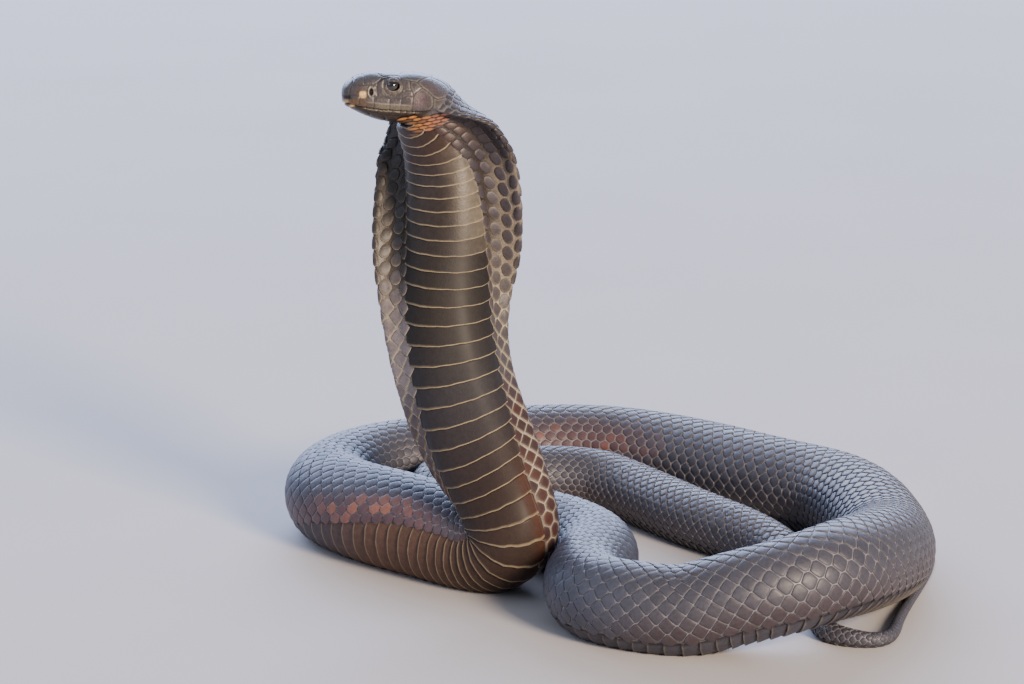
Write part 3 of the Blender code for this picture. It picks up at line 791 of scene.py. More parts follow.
def add_node(tree: bpy.types.NodeTree, kind: str, settings: dict[str, Any] | None = None,
             links: dict[str, tuple[bpy.types.Node, str]] | None = None) -> bpy.types.Node:
    """Add a shader node with its settings and the links into it.

    Args:
        tree: the material's nodes.
        kind: Blender's name for the node.
        settings: values by the name of an input, or of a property of the node.
        links: by the name of an input, the node and the output that feed it.

    Returns:
        The new node.
    """
    node = tree.nodes.new(kind)
    for key, value in (settings or {}).items():
        if key in node.inputs:
            node.inputs[key].default_value = value
        else:
            setattr(node, key, value)
    for key, (source, output) in (links or {}).items():
        tree.links.new(source.outputs[output], node.inputs[key])
    return node


@dataclass(frozen=True)
class Keratin:
    """Horny skin of a living snake: smooth, faintly streaked, with a wet-looking outer layer.

    The colour comes from the piece's own tint, mottled at the size of a fleck of pigment. The
    gloss attribute makes worn or oily places shinier. The fine bump is the grain of the horn,
    drawn coarser than the real one so that it shows.
    """

    name: str
    roughness: tuple[float, float]
    coat: float
    coat_roughness: float
    fleck: float
    mottle: float
    grain: float
    grain_depth: float
    specular: float = 0.5
    ior: float = 1.5

    def make(self) -> bpy.types.Material:
        """Build the material's nodes."""
        finish, tree, shader = new_finish(self.name)
        shader.inputs["IOR"].default_value = self.ior
        shader.inputs["Specular IOR Level"].default_value = self.specular
        shader.inputs["Coat Weight"].default_value = self.coat
        shader.inputs["Coat Roughness"].default_value = self.coat_roughness
        place = add_node(tree, "ShaderNodeTexCoord")
        tint = add_node(tree, "ShaderNodeAttribute", {"attribute_name": "tint"})
        gloss = add_node(tree, "ShaderNodeAttribute", {"attribute_name": "gloss"})
        fleck = add_node(tree, "ShaderNodeTexNoise", {"Scale": 1.0 / self.fleck, "Detail": 4.0,
                                                     "Roughness": 0.6}, {"Vector": (place, "Object")})
        level = add_node(tree, "ShaderNodeMapRange",
                         {"From Min": 0.3, "From Max": 0.7, "To Min": 1.0 - self.mottle,
                          "To Max": 1.0 + self.mottle}, {"Value": (fleck, "Fac")})
        colour = add_node(tree, "ShaderNodeVectorMath", {"operation": "SCALE"})
        tree.links.new(tint.outputs["Color"], colour.inputs[0])
        tree.links.new(level.outputs["Result"], colour.inputs["Scale"])
        tree.links.new(colour.outputs["Vector"], shader.inputs["Base Color"])
        rough = add_node(tree, "ShaderNodeMapRange",
                         {"From Min": 0.0, "From Max": 1.0, "To Min": self.roughness[1],
                          "To Max": self.roughness[0]}, {"Value": (gloss, "Fac")})
        tree.links.new(rough.outputs["Result"], shader.inputs["Roughness"])
        grain = add_node(tree, "ShaderNodeTexNoise", {"Scale": 1.0 / self.grain, "Detail": 3.0},
                         {"Vector": (place, "Object")})
        relief = add_node(tree, "ShaderNodeBump", {"Strength": 1.0, "Distance": self.grain_depth},
                          {"Height": (grain, "Fac")})
        tree.links.new(relief.outputs["Normal"], shader.inputs["Normal"])
        return finish


# Each: roughness where glossy and where dull, weight and roughness of the coat, size and strength of
# the pigment's flecks, size and depth of the grain, specular level; sizes are in metres
BODY_SKIN = Keratin("stretched_skin", (0.32, 0.62), 0.12, 0.2, 0.0009, 0.3, 0.0007, 0.0002, 0.45)
SCALE_HORN = Keratin("scale_horn", (0.44, 0.58), 0.06, 0.35, 0.0014, 0.22, 0.0006, 0.00008)
SCUTE_HORN = Keratin("belly_scute_horn", (0.38, 0.68), 0.05, 0.3, 0.0022, 0.2, 0.0008, 0.0001, 0.35)
EYE_GLAZE = Keratin("eye_spectacle", (0.04, 0.1), 1.0, 0.02, 0.0005, 0.1, 0.002, 0.0, 0.6)


@dataclass
class Markings:
    """Colours of the skin, scales and scutes by place, each a mix of a few named colours; some layers are
    painted shade beside the belly strip and a painted highlight on it.
    """

    table: SkinTable
    slate: Array = shade("#3d3d47")
    blue_slate: Array = shade("#3d4354")
    maroon: Array = shade("#37201b")
    umber: Array = shade("#2e2620")
    bronze: Array = shade("#2e2723")
    rust: Array = shade("#4e2716")
    rose: Array = shade("#553a3c")
    mauve: Array = shade("#5b5352")
    cream: Array = shade("#b3a78f")
    # Painted highlight: the pale colour on the right of the strip under the hood.
    painted_sheen_straw: Array = shade("#8e8472")
    salmon: Array = shade("#94604c")
    # Painted shade: the dark colour of the scales beside the strip under the head and hood.
    painted_shade_plum: Array = shade("#201a1e")
    beige: Array = shade("#62564a")
    ash: Array = shade("#77757c")
    gold: Array = shade("#c07c2e")
    tan: Array = shade("#a8987a")
    russet: Array = shade("#3f2a1b")
    violet: Array = shade("#3d373d")

    def at(self, name: str) -> float:
        """Distance s of a named place on the route."""
        return self.table.form.at[name]

    def span(self, s: Array, first: str, last: str, edge: float = 18.0) -> Array:
        """1 between two named places, with a smooth fade over the edge at either end."""
        low, high = self.at(first), self.at(last)
        return ramp(low - edge, low + edge, s) * (1.0 - ramp(high - edge, high + edge, s))

    def scale(self, s: Array, q: Array, chance: Array) -> Array:
        """Colour of the scales at share q round the back, with painted shade on the rows beside the strip
        from the nape down the hood.

        Args:
            s: distance along the body.
            q: share of the way round the back, from the strip's edge on the animal's left.
            chance: a number from 0 to 1 for each, for the flecks.

        Returns:
            One colour a scale.
        """
        side = np.minimum(q, 1.0 - q)
        # inner marks the rows beside the strip, wider on the animal's right, where shade is painted from the
        # nape down the hood.
        inner = np.where(q < 0.5, ramp(0.2, 0.08, side), ramp(0.36, 0.2, side))
        mauve = self.span(s, "hood", "neck_low", 22.0) * ramp(0.22, 0.1, side)
        left = ramp(0.7, 0.85, q) * self.span(s, "neck_top", "neck_low", 16.0)
        olive = self.span(s, "nape_low", "hood_low", 16.0) * ramp(0.6, 0.75, q)
        right = self.span(s, "throat", "hood_low", 14.0) * ramp(0.4, 0.25, q)
        first = self.span(s, "nape", "throat", 8.0) * ramp(0.16, 0.06, q)
        foot = self.span(s, "neck_low", "near_start", 14.0) * ramp(0.4, 0.12, side)
        near = self.span(s, "near_first", "left_end", 20.0)
        band = near * bump(q, 0.95, 0.09)
        fleck = ramp(0.3, 1.0, chance) * ramp(0.3, 0.8, band)
        back = self.span(s, "back_left", "back_down", 24.0) * bump(q, 0.24, 0.1)
        low = self.span(s, "back_end", "vent", 30.0) * ramp(0.22, 0.05, side)
        return layered(
            self.slate, s.shape,
            (self.umber, 0.8 * self.span(s, "nape", "neck_top")),
            (self.painted_shade_plum, 0.85 * inner * self.span(s, "nape_low", "hood", 14.0)),
            (self.mauve * (0.6 + 1.4 * left)[..., None], 0.9 * mauve),
            (self.umber * 0.75, 0.9 * olive),
            (self.violet, 0.7 * right),
            (self.rust * 0.6, 0.6 * first),
            (self.maroon, 0.9 * foot),
            (self.rust, 0.55 * (foot * ramp(0.4, 0.9, chance) * ramp(0.16, 0.06, side))),
            (self.blue_slate, near * ramp(0.95, 0.7, q)),
            (self.rose, 0.8 * band),
            (self.salmon, 0.8 * (fleck * self.span(s, "near_mid", "left_start", 14.0))),
            (self.rose, 0.8 * back),
            (self.salmon, back * ramp(0.5, 1.0, chance) * 0.4),
            (self.maroon, 0.45 * low),
            (self.blue_slate, 0.7 * self.span(s, "turn_start", "inner_mid", 15.0)))

    def throat(self, rear: Array, chance: Array) -> Array:
        """Colour of the scales under the jaw, gold in front to salmon at the rear, some of them brown."""
        brown = 0.85 * ramp(0.5, 0.95, chance)
        return layered(self.gold, rear.shape, (self.salmon, rear), (self.umber, brown))

    def scale_rim_and_highlight(self, s: Array, q: Array) -> tuple[Array, Array]:
        """Colour of the scales' pale rims, partly their own pale edge and partly a painted highlight, and
        how strongly they show.

        Args:
            s: distance along the body.
            q: share of the way round the back.

        Returns:
            Colours, and strengths from 0 to 1.
        """
        side = np.minimum(q, 1.0 - q)
        neck = self.span(s, "hood", "near_start", 16.0)
        strength = 0.3 + 0.45 * neck * ramp(0.35, 0.15, side)
        return layered(self.ash, s.shape, (self.cream, neck)), strength

    def skin(self, s: Array, q: Array) -> Array:
        """Colour of the skin between the scales, with painted shade in the groove beside the strip and on
        the skin next to it under the head.

        Args:
            s: distance along the body.
            q: share of the way round the back.

        Returns:
            One colour a place.
        """
        side = np.minimum(q, 1.0 - q)
        cream = self.span(s, "neck_top", "elbow", 14.0) * ramp(0.42, 0.24, side)
        left = 0.88 * self.span(s, "nape", "neck_top") * ramp(0.5, 0.7, q)
        outer = self.span(s, "hood_top", "neck_mid", 12.0) * ramp(0.35, 0.15, q)
        # Painted shade: beside, deep and the last layer darken the skin in the groove along the strip and
        # next to it under the head.
        beside = 0.9 * ramp(0.16, 0.06, side) * self.span(s, "nape", "hood_low")
        deep = self.span(s, "nape_low", "hood_top", 10.0) * ramp(0.36, 0.22, side)
        return layered(
            self.ash, s.shape,
            (self.beige, self.span(s, "nape", "neck_top")),
            (self.cream, 0.6 * cream),
            (self.umber, left),
            (self.cream, 0.3 * outer),
            (self.umber * 0.6, beside),
            (self.umber * 0.5, 0.85 * deep),
            (self.umber * 0.5, 0.85 * ramp(0.05, 0.0, side)))

    def scute(self, s: Array, across: Array) -> Array:
        """Colour of the belly scutes, with a painted highlight on the right side of the strip under the
        hood.

        Args:
            s: distance along the body.
            across: from -1 on the animal's left edge to 1 on its right.

        Returns:
            One colour a place.
        """
        colour = layered(self.slate, s.shape,
                         (self.bronze, self.span(s, "nape_low", "neck_low", 40.0)),
                         (self.russet, 0.85 * self.span(s, "neck_base", "left_start", 30.0)))
        colour = colour * (1.0 - 0.52 * self.span(s, "hood_low", "near_start", 26.0))[..., None]
        colour = colour * (1.0 + 0.7 * self.span(s, "near_first", "left_start", 26.0))[..., None]
        # Painted highlight: pale toward the strip's right edge, from the top of the hood to its lower end.
        painted_sheen = self.span(s, "hood_top", "hood_low", 10.0) * ramp(0.1, 0.9, across)
        rust = self.span(s, "neck_foot", "near_start", 8.0) * ramp(0.6, 0.95, across)
        return layered(colour, colour.shape[:-1],
                       (self.russet * 0.75, 0.8 * self.span(s, "nape", "hood_top", 10.0)),
                       (self.painted_sheen_straw, 0.42 * painted_sheen), (self.rust, 0.5 * rust))

    def scute_rim(self, s: Array) -> Array:
        """How strongly the pale hind rims of the scutes show, faint on the coils."""
        return (0.25 + 0.6 * self.span(s, "nape", "neck_foot", 14.0)
                + 0.35 * self.span(s, "neck_foot", "left", 14.0))


def eye_ball(node: str) -> tuple[Array, float]:
    """Middle and radius of one of the frame's eyes."""
    low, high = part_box(node)
    centre = np.array([(a + b) / 2.0 for a, b in zip(low, high)]) / MM
    return centre, float(high[2] - low[2]) / 2.0 / MM


class SkinZone(NamedTuple):
    """A stretch of the skin's mesh: where it ends, columns round it and length between rings."""

    end: str
    around: int
    step: float


@dataclass
class HeadRelief:
    """The head's shields, mouth, nostrils, brows and eye rims, as heights over the bare form.

    The swellings are the brow, the hollow before the eye and the cheek, each with its height, its
    distance back and half length, and its place round the section and half width. The recess in the
    snout's front has its distance back and height, then its half length and half height.

    Seams are lines from place to place, each place a distance back from the snout and a place
    round the section, 0 at the middle of the chin and 11 at the middle of the crown. Both sides of
    the head have the same seams.
    """

    form: BodyForm
    end: float = 42.0
    eye: tuple[float, float] = (20.0, 4.45)
    eye_shape: tuple[float, float] = (1.04, 0.88)
    eye_open: float = 2.36
    rim: float = 3.0
    lid_edge: float = 0.8
    lid_thickness: float = 0.3
    nostril: tuple[float, float] = (10.8, 1.2)
    seam_width: float = 0.22
    seam_depth: float = 0.26
    lip_depth: float = 0.95
    swellings: tuple[tuple[float, ...], ...] = ((0.95, 19.6, 5.0, 8.6, 0.7), (-0.55, 12.5, 4.0, 6.9, 1.0),
                                                (0.5, 32.0, 6.5, 5.6, 1.6))
    recess: tuple[float, ...] = (1.1, -1.5, 1.7, 1.0)
    shields: tuple[tuple[tuple[float, float], ...], ...] = (
        ((2.0, 3.4), (1.8, 5.0), (2.4, 7.4), (3.4, 9.2), (4.2, 11.0)),
        ((3.6, 11.0), (13.0, 11.0)),
        ((2.8, 8.15), (5.0, 7.95), (8.0, 7.7), (11.2, 7.5), (13.4, 8.15)),
        ((7.8, 7.7), (8.3, 9.2), (7.7, 11.0)),
        ((13.4, 8.15), (15.6, 8.85), (18.4, 9.15), (21.4, 9.5), (23.3, 9.3)),
        ((15.8, 8.9), (13.9, 9.9), (12.9, 11.0)),
        ((23.3, 9.3), (24.4, 10.1), (26.0, 11.0)),
        ((23.3, 9.3), (23.9, 8.7), (23.6, 8.3)),
        ((26.0, 11.0), (34.2, 11.0)),
        ((23.9, 8.65), (27.0, 8.4), (29.4, 8.2), (31.0, 9.0), (32.6, 9.8), (34.2, 11.0)),
        ((32.6, 9.8), (35.4, 9.8), (37.8, 9.65), (38.2, 9.1), (37.8, 8.6), (35.8, 7.2)),
        ((29.4, 8.2), (31.0, 7.35), (34.6, 7.05), (35.8, 7.2)),
        ((27.3, 8.35), (27.1, 7.4), (27.6, 6.5), (28.4, 5.6), (31.0, 7.35)),
        ((34.6, 7.05), (36.2, 5.8), (36.5, 4.4)),
        ((24.9, 6.5), (27.6, 6.5)),
        ((13.4, 8.15), (12.9, 7.0), (13.4, 5.6)),
        ((10.7, 7.55), (10.75, 6.6)),
        ((10.8, 5.9), (10.9, 5.35)),
        ((2.0, 5.4), (6.0, 5.35), (12.4, 5.4), (16.6, 5.5), (19.0, 5.3), (23.2, 5.35), (25.8, 5.7),
         (28.4, 5.6)),
        ((6.0, 3.0), (6.2, 5.4)),
        ((12.4, 3.2), (12.2, 5.4)),
        ((19.0, 3.2), (18.6, 5.3)),
        ((23.2, 3.2), (23.4, 5.35)),
        ((28.4, 3.2), (28.4, 5.6)),
        ((5.0, 1.9), (4.8, 3.1)),
        ((9.4, 2.0), (9.2, 3.2)),
        ((14.4, 2.0), (14.2, 3.3)),
        ((20.0, 2.1), (19.9, 3.3)),
        ((25.6, 2.2), (25.6, 3.4)),
        ((31.4, 2.3), (31.4, 3.4)),
        ((3.6, 0.0), (4.6, 1.9), (9.4, 2.0), (14.4, 2.0), (20.0, 2.1), (25.6, 2.2), (33.0, 2.4)),
        ((4.0, 0.0), (24.0, 0.0)),
        ((9.4, 2.0), (11.6, 1.2), (12.0, 0.0)),
        ((16.6, 2.05), (18.4, 1.2), (19.0, 0.0)),
        ((24.0, 2.2), (23.4, 1.1), (24.0, 0.0)),
    )
    eye_spokes: tuple[float, ...] = (168.0, 208.0, 246.0, 284.0, 322.0, 2.0, 48.0)

    def mouth(self, back: Array) -> Array:
        """Height of the mouth line over the axis at a distance back."""
        line = np.array(MOUTH_LINE)
        return np.interp(back, line[:, 0], line[:, 1])

    def side_place(self, back: Array, up: Array) -> Array:
        """Place round the section of points on the side of the head.

        Args:
            back: distances back from the snout.
            up: heights over the axis.

        Returns:
            One place a point.
        """
        fine = np.linspace(0.0, HALF, 221)
        rings = self.form.surface(back, np.tile(fine, (len(back), 1)))
        heights = self.form.head_place(rings)[1]
        return np.array([np.interp(u, row, fine) for u, row in zip(up, heights)])

    def samples(self, lines: list[Array]) -> Array:
        """Points close together along lines, on both sides of the head.

        Args:
            lines: rows of (distance back, place round the section).

        Returns:
            Points on the bare form.
        """
        parts = []
        for line in lines:
            gaps = np.hypot(np.diff(line[:, 0]), 3.0 * np.diff(line[:, 1]))
            knots = np.concatenate([[0.0], np.cumsum(gaps)])
            at = np.linspace(0.0, knots[-1], max(4, int(knots[-1] / 0.16)))
            parts.append(np.stack([np.interp(at, knots, line[:, k]) for k in (0, 1)], axis=1))
        seam = np.vstack(parts)
        both = np.vstack([seam, seam * [1.0, -1.0] + [0.0, 2.0 * HALF]])
        return self.form.surface(both[:, 0], both[:, 1:2])[:, 0]

    def eye_lines(self) -> list[Array]:
        """The ring of small shields round the eye: its outer edge and the seams across it."""
        lines = []
        turn = np.radians(np.linspace(150.0, 390.0, 30))
        wide = self.rim + 1.25
        ring = np.stack([self.eye[0] - wide * np.cos(turn), self.eye[1] + wide * np.sin(turn)], axis=1)
        lines.append(ring)
        for angle in np.radians(self.eye_spokes):
            reach = np.array([self.rim - 0.35, wide])
            lines.append(np.stack([self.eye[0] - reach * np.cos(angle),
                                   self.eye[1] + reach * np.sin(angle)], axis=1))
        return [np.stack([line[:, 0], self.side_place(line[:, 0], line[:, 1])], axis=1) for line in lines]

    def heights(self, points: Array, s: Array, t: Array) -> tuple[Array, dict[str, Array]]:
        """Height of the relief at each point, with masks for its colours.

        Args:
            points: points of the bare form.
            s: their distances back.
            t: their places round the section.

        Returns:
            Heights in millimetres, and masks from 0 to 1 by name.
        """
        from_chin = np.minimum(t, 2.0 * HALF - t)
        back, up = self.form.head_place(points)
        lines = [np.array(line) for line in self.shields] + self.eye_lines()
        seam = np.full(s.shape, 9.0)
        near = s < self.end
        seam[near] = nearest(points[near], self.samples(lines))
        fade = 1.0 - ramp(self.end - 5.0, self.end, s)
        over = up - self.mouth(back)
        tall = self.eye_shape[1] * np.where(up > self.eye[1], 0.86, 1.0)
        eye = np.hypot((back - self.eye[0]) / self.eye_shape[0], (up - self.eye[1]) / tall)
        outside = from_chin < 10.4
        eye = np.where(outside, eye, 99.0)
        off = np.hypot(back - self.eye[0], up - self.eye[1])
        over_edge = up - self.eye[1] - self.lid_edge - 0.16 * (back - self.eye[0])
        lid = ramp(-0.12, 0.12, over_edge) * ramp(4.4, 3.8, off) * outside
        height = sum(rise * bump(s, at, long) * bump(from_chin, place, wide)
                     for rise, at, long, place, wide in self.swellings)
        height += 0.3 * bump(from_chin, 4.6, 0.6) * ramp(2.0, 6.0, s) * ramp(40.0, 30.0, s)
        open_lip = ramp(38.5, 34.0, s)
        height += open_lip * 0.28 * bump(over, 0.85, 0.75)
        below = over + 0.12
        height -= open_lip * self.lip_depth * np.exp(-np.where(below < 0.0, below / 0.34, below / 0.16) ** 2)
        height += open_lip * 0.12 * bump(over, -1.0, 0.5)
        groove = fade * np.exp(-(seam / self.seam_width) ** 2)
        bevel = fade * np.exp(-(seam / 0.95) ** 2)
        keep = ramp(self.rim - 0.5, self.rim + 0.1, eye)
        height -= keep * (self.seam_depth * groove + 0.12 * bevel)
        rim = np.exp(-((eye - self.rim + 0.1) / 0.42) ** 2)
        height += 0.62 * rim * fade
        socket = ramp(self.eye_open + 0.25, self.eye_open - 0.3, eye)
        height -= 1.5 * socket
        height += 1.5 * lid * socket
        eye = eye + 4.0 * lid
        slot = np.hypot((back - self.nostril[0]) / 0.8, (up - self.nostril[1] - 0.1) / 1.5)
        slot = np.where(outside, slot, 9.0)
        height += 0.22 * np.exp(-((slot - 1.5) / 0.45) ** 2)
        height -= 1.5 * np.exp(-(slot / 0.85) ** 4)
        at, tall, long, wide = self.recess
        recess = np.exp(-np.hypot((back - at) / long, (up - tall) / wide) ** 4) * outside
        height -= 0.7 * recess
        # The masks for the nostril, the mouth line and the snout's recess say where the head's paint puts
        # painted shade.
        masks = {"seam": groove, "edge": fade * bump(seam, 0.55, 0.2), "pit": np.exp(-(slot / 1.0) ** 4),
                 "nose_rim": bump(slot, 1.4, 0.3), "recess": recess,
                 "mouth": open_lip * bump(over, -0.06, 0.32),
                 "over": over, "eye": eye, "up": up, "back": back, "chin": from_chin, "lid": lid}
        return height, masks

    def lidded(self, points: Array, lid: Array) -> Array:
        """Draw the upper lids over the frame's eyes, clear of them by their thickness.

        Args:
            points: points of the head.
            lid: how much each is part of a lid, from 0 to 1.

        Returns:
            The moved points.
        """
        for node in EYE_NODES:
            centre, radius = eye_ball(node)
            away = points - centre
            far = np.linalg.norm(away, axis=-1)
            push = lid * np.maximum(radius + self.lid_thickness - far, 0.0) / np.maximum(far, 1e-6)
            points = points + away * push[..., None]
        return points


@dataclass
class HeadPaint:
    """Colours of the head, as soft patches on a lilac-grey ground, with painted highlights on the snout and
    painted shade in its hollows.
    """

    ground: Array = shade("#433d3e")
    top: Array = shade("#42464f")
    cheek: Array = shade("#604f51")
    jaw: Array = shade("#2b2013")
    # Painted highlights: the gold glints on the lip tips and on the shield round the nostril.
    gold: Array = shade("#dbb980")
    orange: Array = shade("#5c421e")
    cream: Array = shade("#b5ab98")
    # dark is the seams' own colour, and also painted shade in the mouth line, nostrils, eye sockets, the
    # snout's recess and under the brow.
    dark: Array = shade("#131011")
    olive: Array = shade("#6a624e")

    def tint(self, s: Array, masks: dict[str, Array]) -> Array:
        """Colour of the head, with its painted highlights and painted shade.

        Args:
            s: distance back of each point.
            masks: the relief's masks.

        Returns:
            One colour a point.
        """
        chin, over, back, up = masks["chin"], masks["over"], masks["back"], masks["up"]
        lip = ramp(0.0, 0.25, over) * ramp(3.2, 2.2, over)
        nasal_highlight = (np.abs((back - 7.4) / 1.45) ** 3 + np.abs(up / 1.45) ** 3) ** (1.0 / 3.0)
        upper_edge = bump(over, 2.6, 0.28) * ramp(8.0, 11.0, s) * ramp(30.0, 25.0, s)
        lower_edge = 0.36 * bump(over, -0.55, 0.14) * ramp(37.0, 30.0, s) * ramp(7.0, 10.0, s)
        rear = ramp(24.0, 28.0, s) * ramp(4.4, 5.4, chin) * ramp(10.4, 9.8, chin)
        # Painted shade under the overhanging brow, in front of the eye.
        brow = bump(up - 5.3 - 0.55 * (back - 13.4), 0.0, 0.42) * bump(back, 15.8, 2.4)
        return layered(
            self.ground, s.shape,
            (self.top, ramp(7.6, 9.4, chin)),
            (self.cheek, 0.9 * bump(s, 31.5, 3.6) * bump(chin, 5.4, 1.1)),
            (self.cheek, 0.3 * bump(s, 34.0, 3.5) * bump(chin, 8.4, 1.0)),
            (self.jaw, ramp(0.2, -0.6, over)),
            (self.orange, 0.65 * lip * ramp(15.0, 5.0, s)),
            (self.olive, 0.6 * lip * ramp(11.0, 15.0, s) * ramp(31.0, 26.0, s)),
            (self.olive, 0.5 * bump(s, 38.0, 3.0) * bump(chin, 5.6, 1.0)),
            (self.olive, 0.35 * bump(masks["eye"], 3.4, 1.0) * ramp(6.5, 5.0, up)),
            # Painted shade in the recess in the snout's front.
            (self.dark, 0.95 * masks["recess"]),
            # Painted highlights: gold glints on the two lip tips and on the shield by the nostril, with a
            # brown halo round the last.
            (self.gold, 0.95 * bump(back, 1.0, 0.9) * bump(up, -3.4, 0.6)),
            (self.gold, 0.95 * bump(back, 3.5, 1.0) * bump(up, -5.1, 0.7)),
            (self.orange, 0.75 * np.exp(-(nasal_highlight / 1.5) ** 6) * (back < 9.4)),
            (self.gold, 0.95 * np.exp(-nasal_highlight ** 8)),
            (self.cream, 0.3 * upper_edge),
            (self.cream, lower_edge),
            (self.cream, 0.4 * masks["nose_rim"]),
            (self.cream, 0.25 * masks["edge"] * rear),
            (self.cream, 0.2 * bump(masks["eye"], 3.0, 0.45) * ramp(5.2, 3.2, up)),
            (self.dark, (0.35 + 0.25 * rear) * masks["seam"]),
            # Painted shade under the brow, in the mouth line, in the nostril and in the eye socket round the
            # ball.
            (self.dark, 0.9 * brow * (chin < 10.0)),
            (self.dark, 0.95 * masks["mouth"]),
            (self.dark, 0.97 * masks["pit"]),
            (self.dark, 0.9 * ramp(2.72, 2.4, masks["eye"])))


@dataclass
class Skin:
    """One closed mesh over the whole animal, from the snout to the tip of the tail."""

    table: SkinTable
    relief: HeadRelief
    paint: HeadPaint
    markings: Markings
    zones: tuple[SkinZone, ...] = (
        SkinZone("head", 240, 0.0), SkinZone("near_first", 120, 1.3), SkinZone("tail_first", 60, 3.1),
        SkinZone("tip", 30, 2.6),
    )
    head_rings: int = 184
    sunk: float = 0.32
    fine: int = 704

    def rings(self, s: Array, around: int) -> tuple[Array, Array]:
        """Points evenly spaced round each ring, and their places round the section."""
        turned = self.table.form.even_places(s, self.fine, np.arange(around) / around)[0]
        return self.table.form.surface(s, turned), turned

    @staticmethod
    def outward(points: Array) -> Array:
        """Outward normals of a closed grid of rings: onward direction crossed with the way round."""
        along = np.gradient(points, axis=0)
        across = np.roll(points, -1, axis=1) - np.roll(points, 1, axis=1)
        return unit(np.cross(along, across))

    def head_zone(self) -> tuple[Array, Array, Array]:
        """Points, colours and gloss of the head's rings, close together at the snout."""
        s = 0.08 + (self.relief.end - 0.08) * (np.arange(self.head_rings) / (self.head_rings - 1)) ** 1.3
        points, places = self.rings(s, self.zones[0].around)
        wide = np.broadcast_to(s[:, None], places.shape)
        height, masks = self.relief.heights(points, wide, places)
        height = height * ramp(0.0, 1.2, wide)
        height -= self.sunk * ramp(36.0, self.relief.end, wide)
        body = self.markings.skin(wide, np.full(wide.shape, 0.5))
        tint = mix(self.paint.tint(wide, masks), body, ramp(36.0, 39.0, wide))
        gloss = 0.75 - 0.5 * masks["seam"] - 0.3 * ramp(35.0, 40.0, wide)
        points = points + self.outward(points) * height[:, :, None]
        return self.relief.lidded(points, masks["lid"]), tint, gloss

    def build(self, finish: bpy.types.Material, flesh: tuple[str, ...]) -> bpy.types.Object:
        """Stitch the zones, close both ends and write the mesh.

        Args:
            finish: the skin's material.
            flesh: the nodes that the skin replaces.

        Returns:
            The skin.
        """
        form = self.table.form
        points, tint, gloss = self.head_zone()
        blocks = [(points, tint, gloss)]
        start = self.relief.end
        for zone in self.zones[1:]:
            end = form.at[zone.end]
            count = int(round((end - start) / zone.step))
            s = start + (end - start) * np.arange(1, count + 1) / count
            points, places = self.rings(s, zone.around)
            shrink = np.minimum(self.sunk, 0.025 * self.table.row_value(self.table.girth, s) / 2.0)
            points = points - self.outward(points) * shrink[:, None, None]
            points[:, :, 2] = np.maximum(points[:, :, 2], 0.0)
            wide = np.broadcast_to(s[:, None], places.shape)
            edge = self.table.row_value(self.table.edge_place, s)[:, None]
            share = (places - edge) / (2.0 * (HALF - edge))
            blocks.append((points, self.markings.skin(wide, share), np.full(places.shape, 0.4)))
            start = end
        counts = np.concatenate([[block[0].shape[1]] * block[0].shape[0] for block in blocks])
        firsts = np.concatenate([[0], np.cumsum(counts)])
        rings = [first + np.arange(count) for first, count in zip(firsts, counts)]
        faces = []
        for here, there in zip(rings[:-1], rings[1:]):
            if len(here) == len(there):
                faces.append(band(here, there))
            else:
                faces.append(np.concatenate([band(here[::2], there), here[1::2, None]], axis=1))
        faces += [fan(firsts[-1], rings[0]), fan(firsts[-1] + 1, rings[-1], False)]
        shift = np.array([*form.model_centre, 0.0])
        ends = form.centre(np.array([0.0, form.at["tip"]])) - shift
        ends[1] += 1.2 * unit(ends[1:] - (form.centre(np.array([form.at["tip"] - 2.0])) - shift))[0]
        tints = [blocks[0][1][0, :1], blocks[-1][1][-1, :1]]
        parts = MeshParts(np.vstack([block[0].reshape(-1, 3) for block in blocks] + [ends]),
                          *face_list(faces),
                          np.vstack([block[1].reshape(-1, 3) for block in blocks] + tints),
                          np.concatenate([block[2].ravel() for block in blocks] + [[0.6, 0.4]]))
        return make_piece("skin", parts, finish, flesh)


@dataclass
class Lattice:
    """Scales set out in staggered rows on a stretch of the body.

    In most places the scales of every row start at the same distances along the centreline. Where
    the body bends hard, by_skin sets them out by the true length of skin along each row instead,
    in step with the others at the distance anchor.
    """

    start: float
    end: float
    rows: int
    counter: Counter
    by_skin: bool = False
    strip: bool = False
    anchor: float = 0.0

    def places(self, table: SkinTable) -> tuple[Array, Array, Array]:
        """Set out the scales.

        Args:
            table: the skin's table.

        Returns:
            Distance s, share q and true length of each scale.
        """
        s = table.s
        parts = []
        for row in range(self.rows):
            q = (row + 0.5) / self.rows
            if self.strip and abs(q - 0.5) > 0.3:
                continue
            stretch = table.row_stretch(q, self.strip)
            number = self.counter.number(s)
            if self.by_skin:
                fixed = np.interp(self.anchor, s, number)
                number = np.cumsum(stretch * table.step / self.counter.pitch(s))
                number += fixed - np.interp(self.anchor, s, number)
            shift = 0.5 * (row % 2)
            low, high = np.interp([self.start, self.end], s, number) - shift
            marks = np.arange(math.ceil(low), math.ceil(high)) + shift
            at = np.interp(marks, number, s)
            run = np.cumsum(stretch) * table.step
            long = np.interp(np.interp(marks + 0.5, number, s), s, run)
            long -= np.interp(np.interp(marks - 0.5, number, s), s, run)
            parts.append(np.stack([at, np.full(len(at), q), long]))
        return tuple(np.hstack(parts))


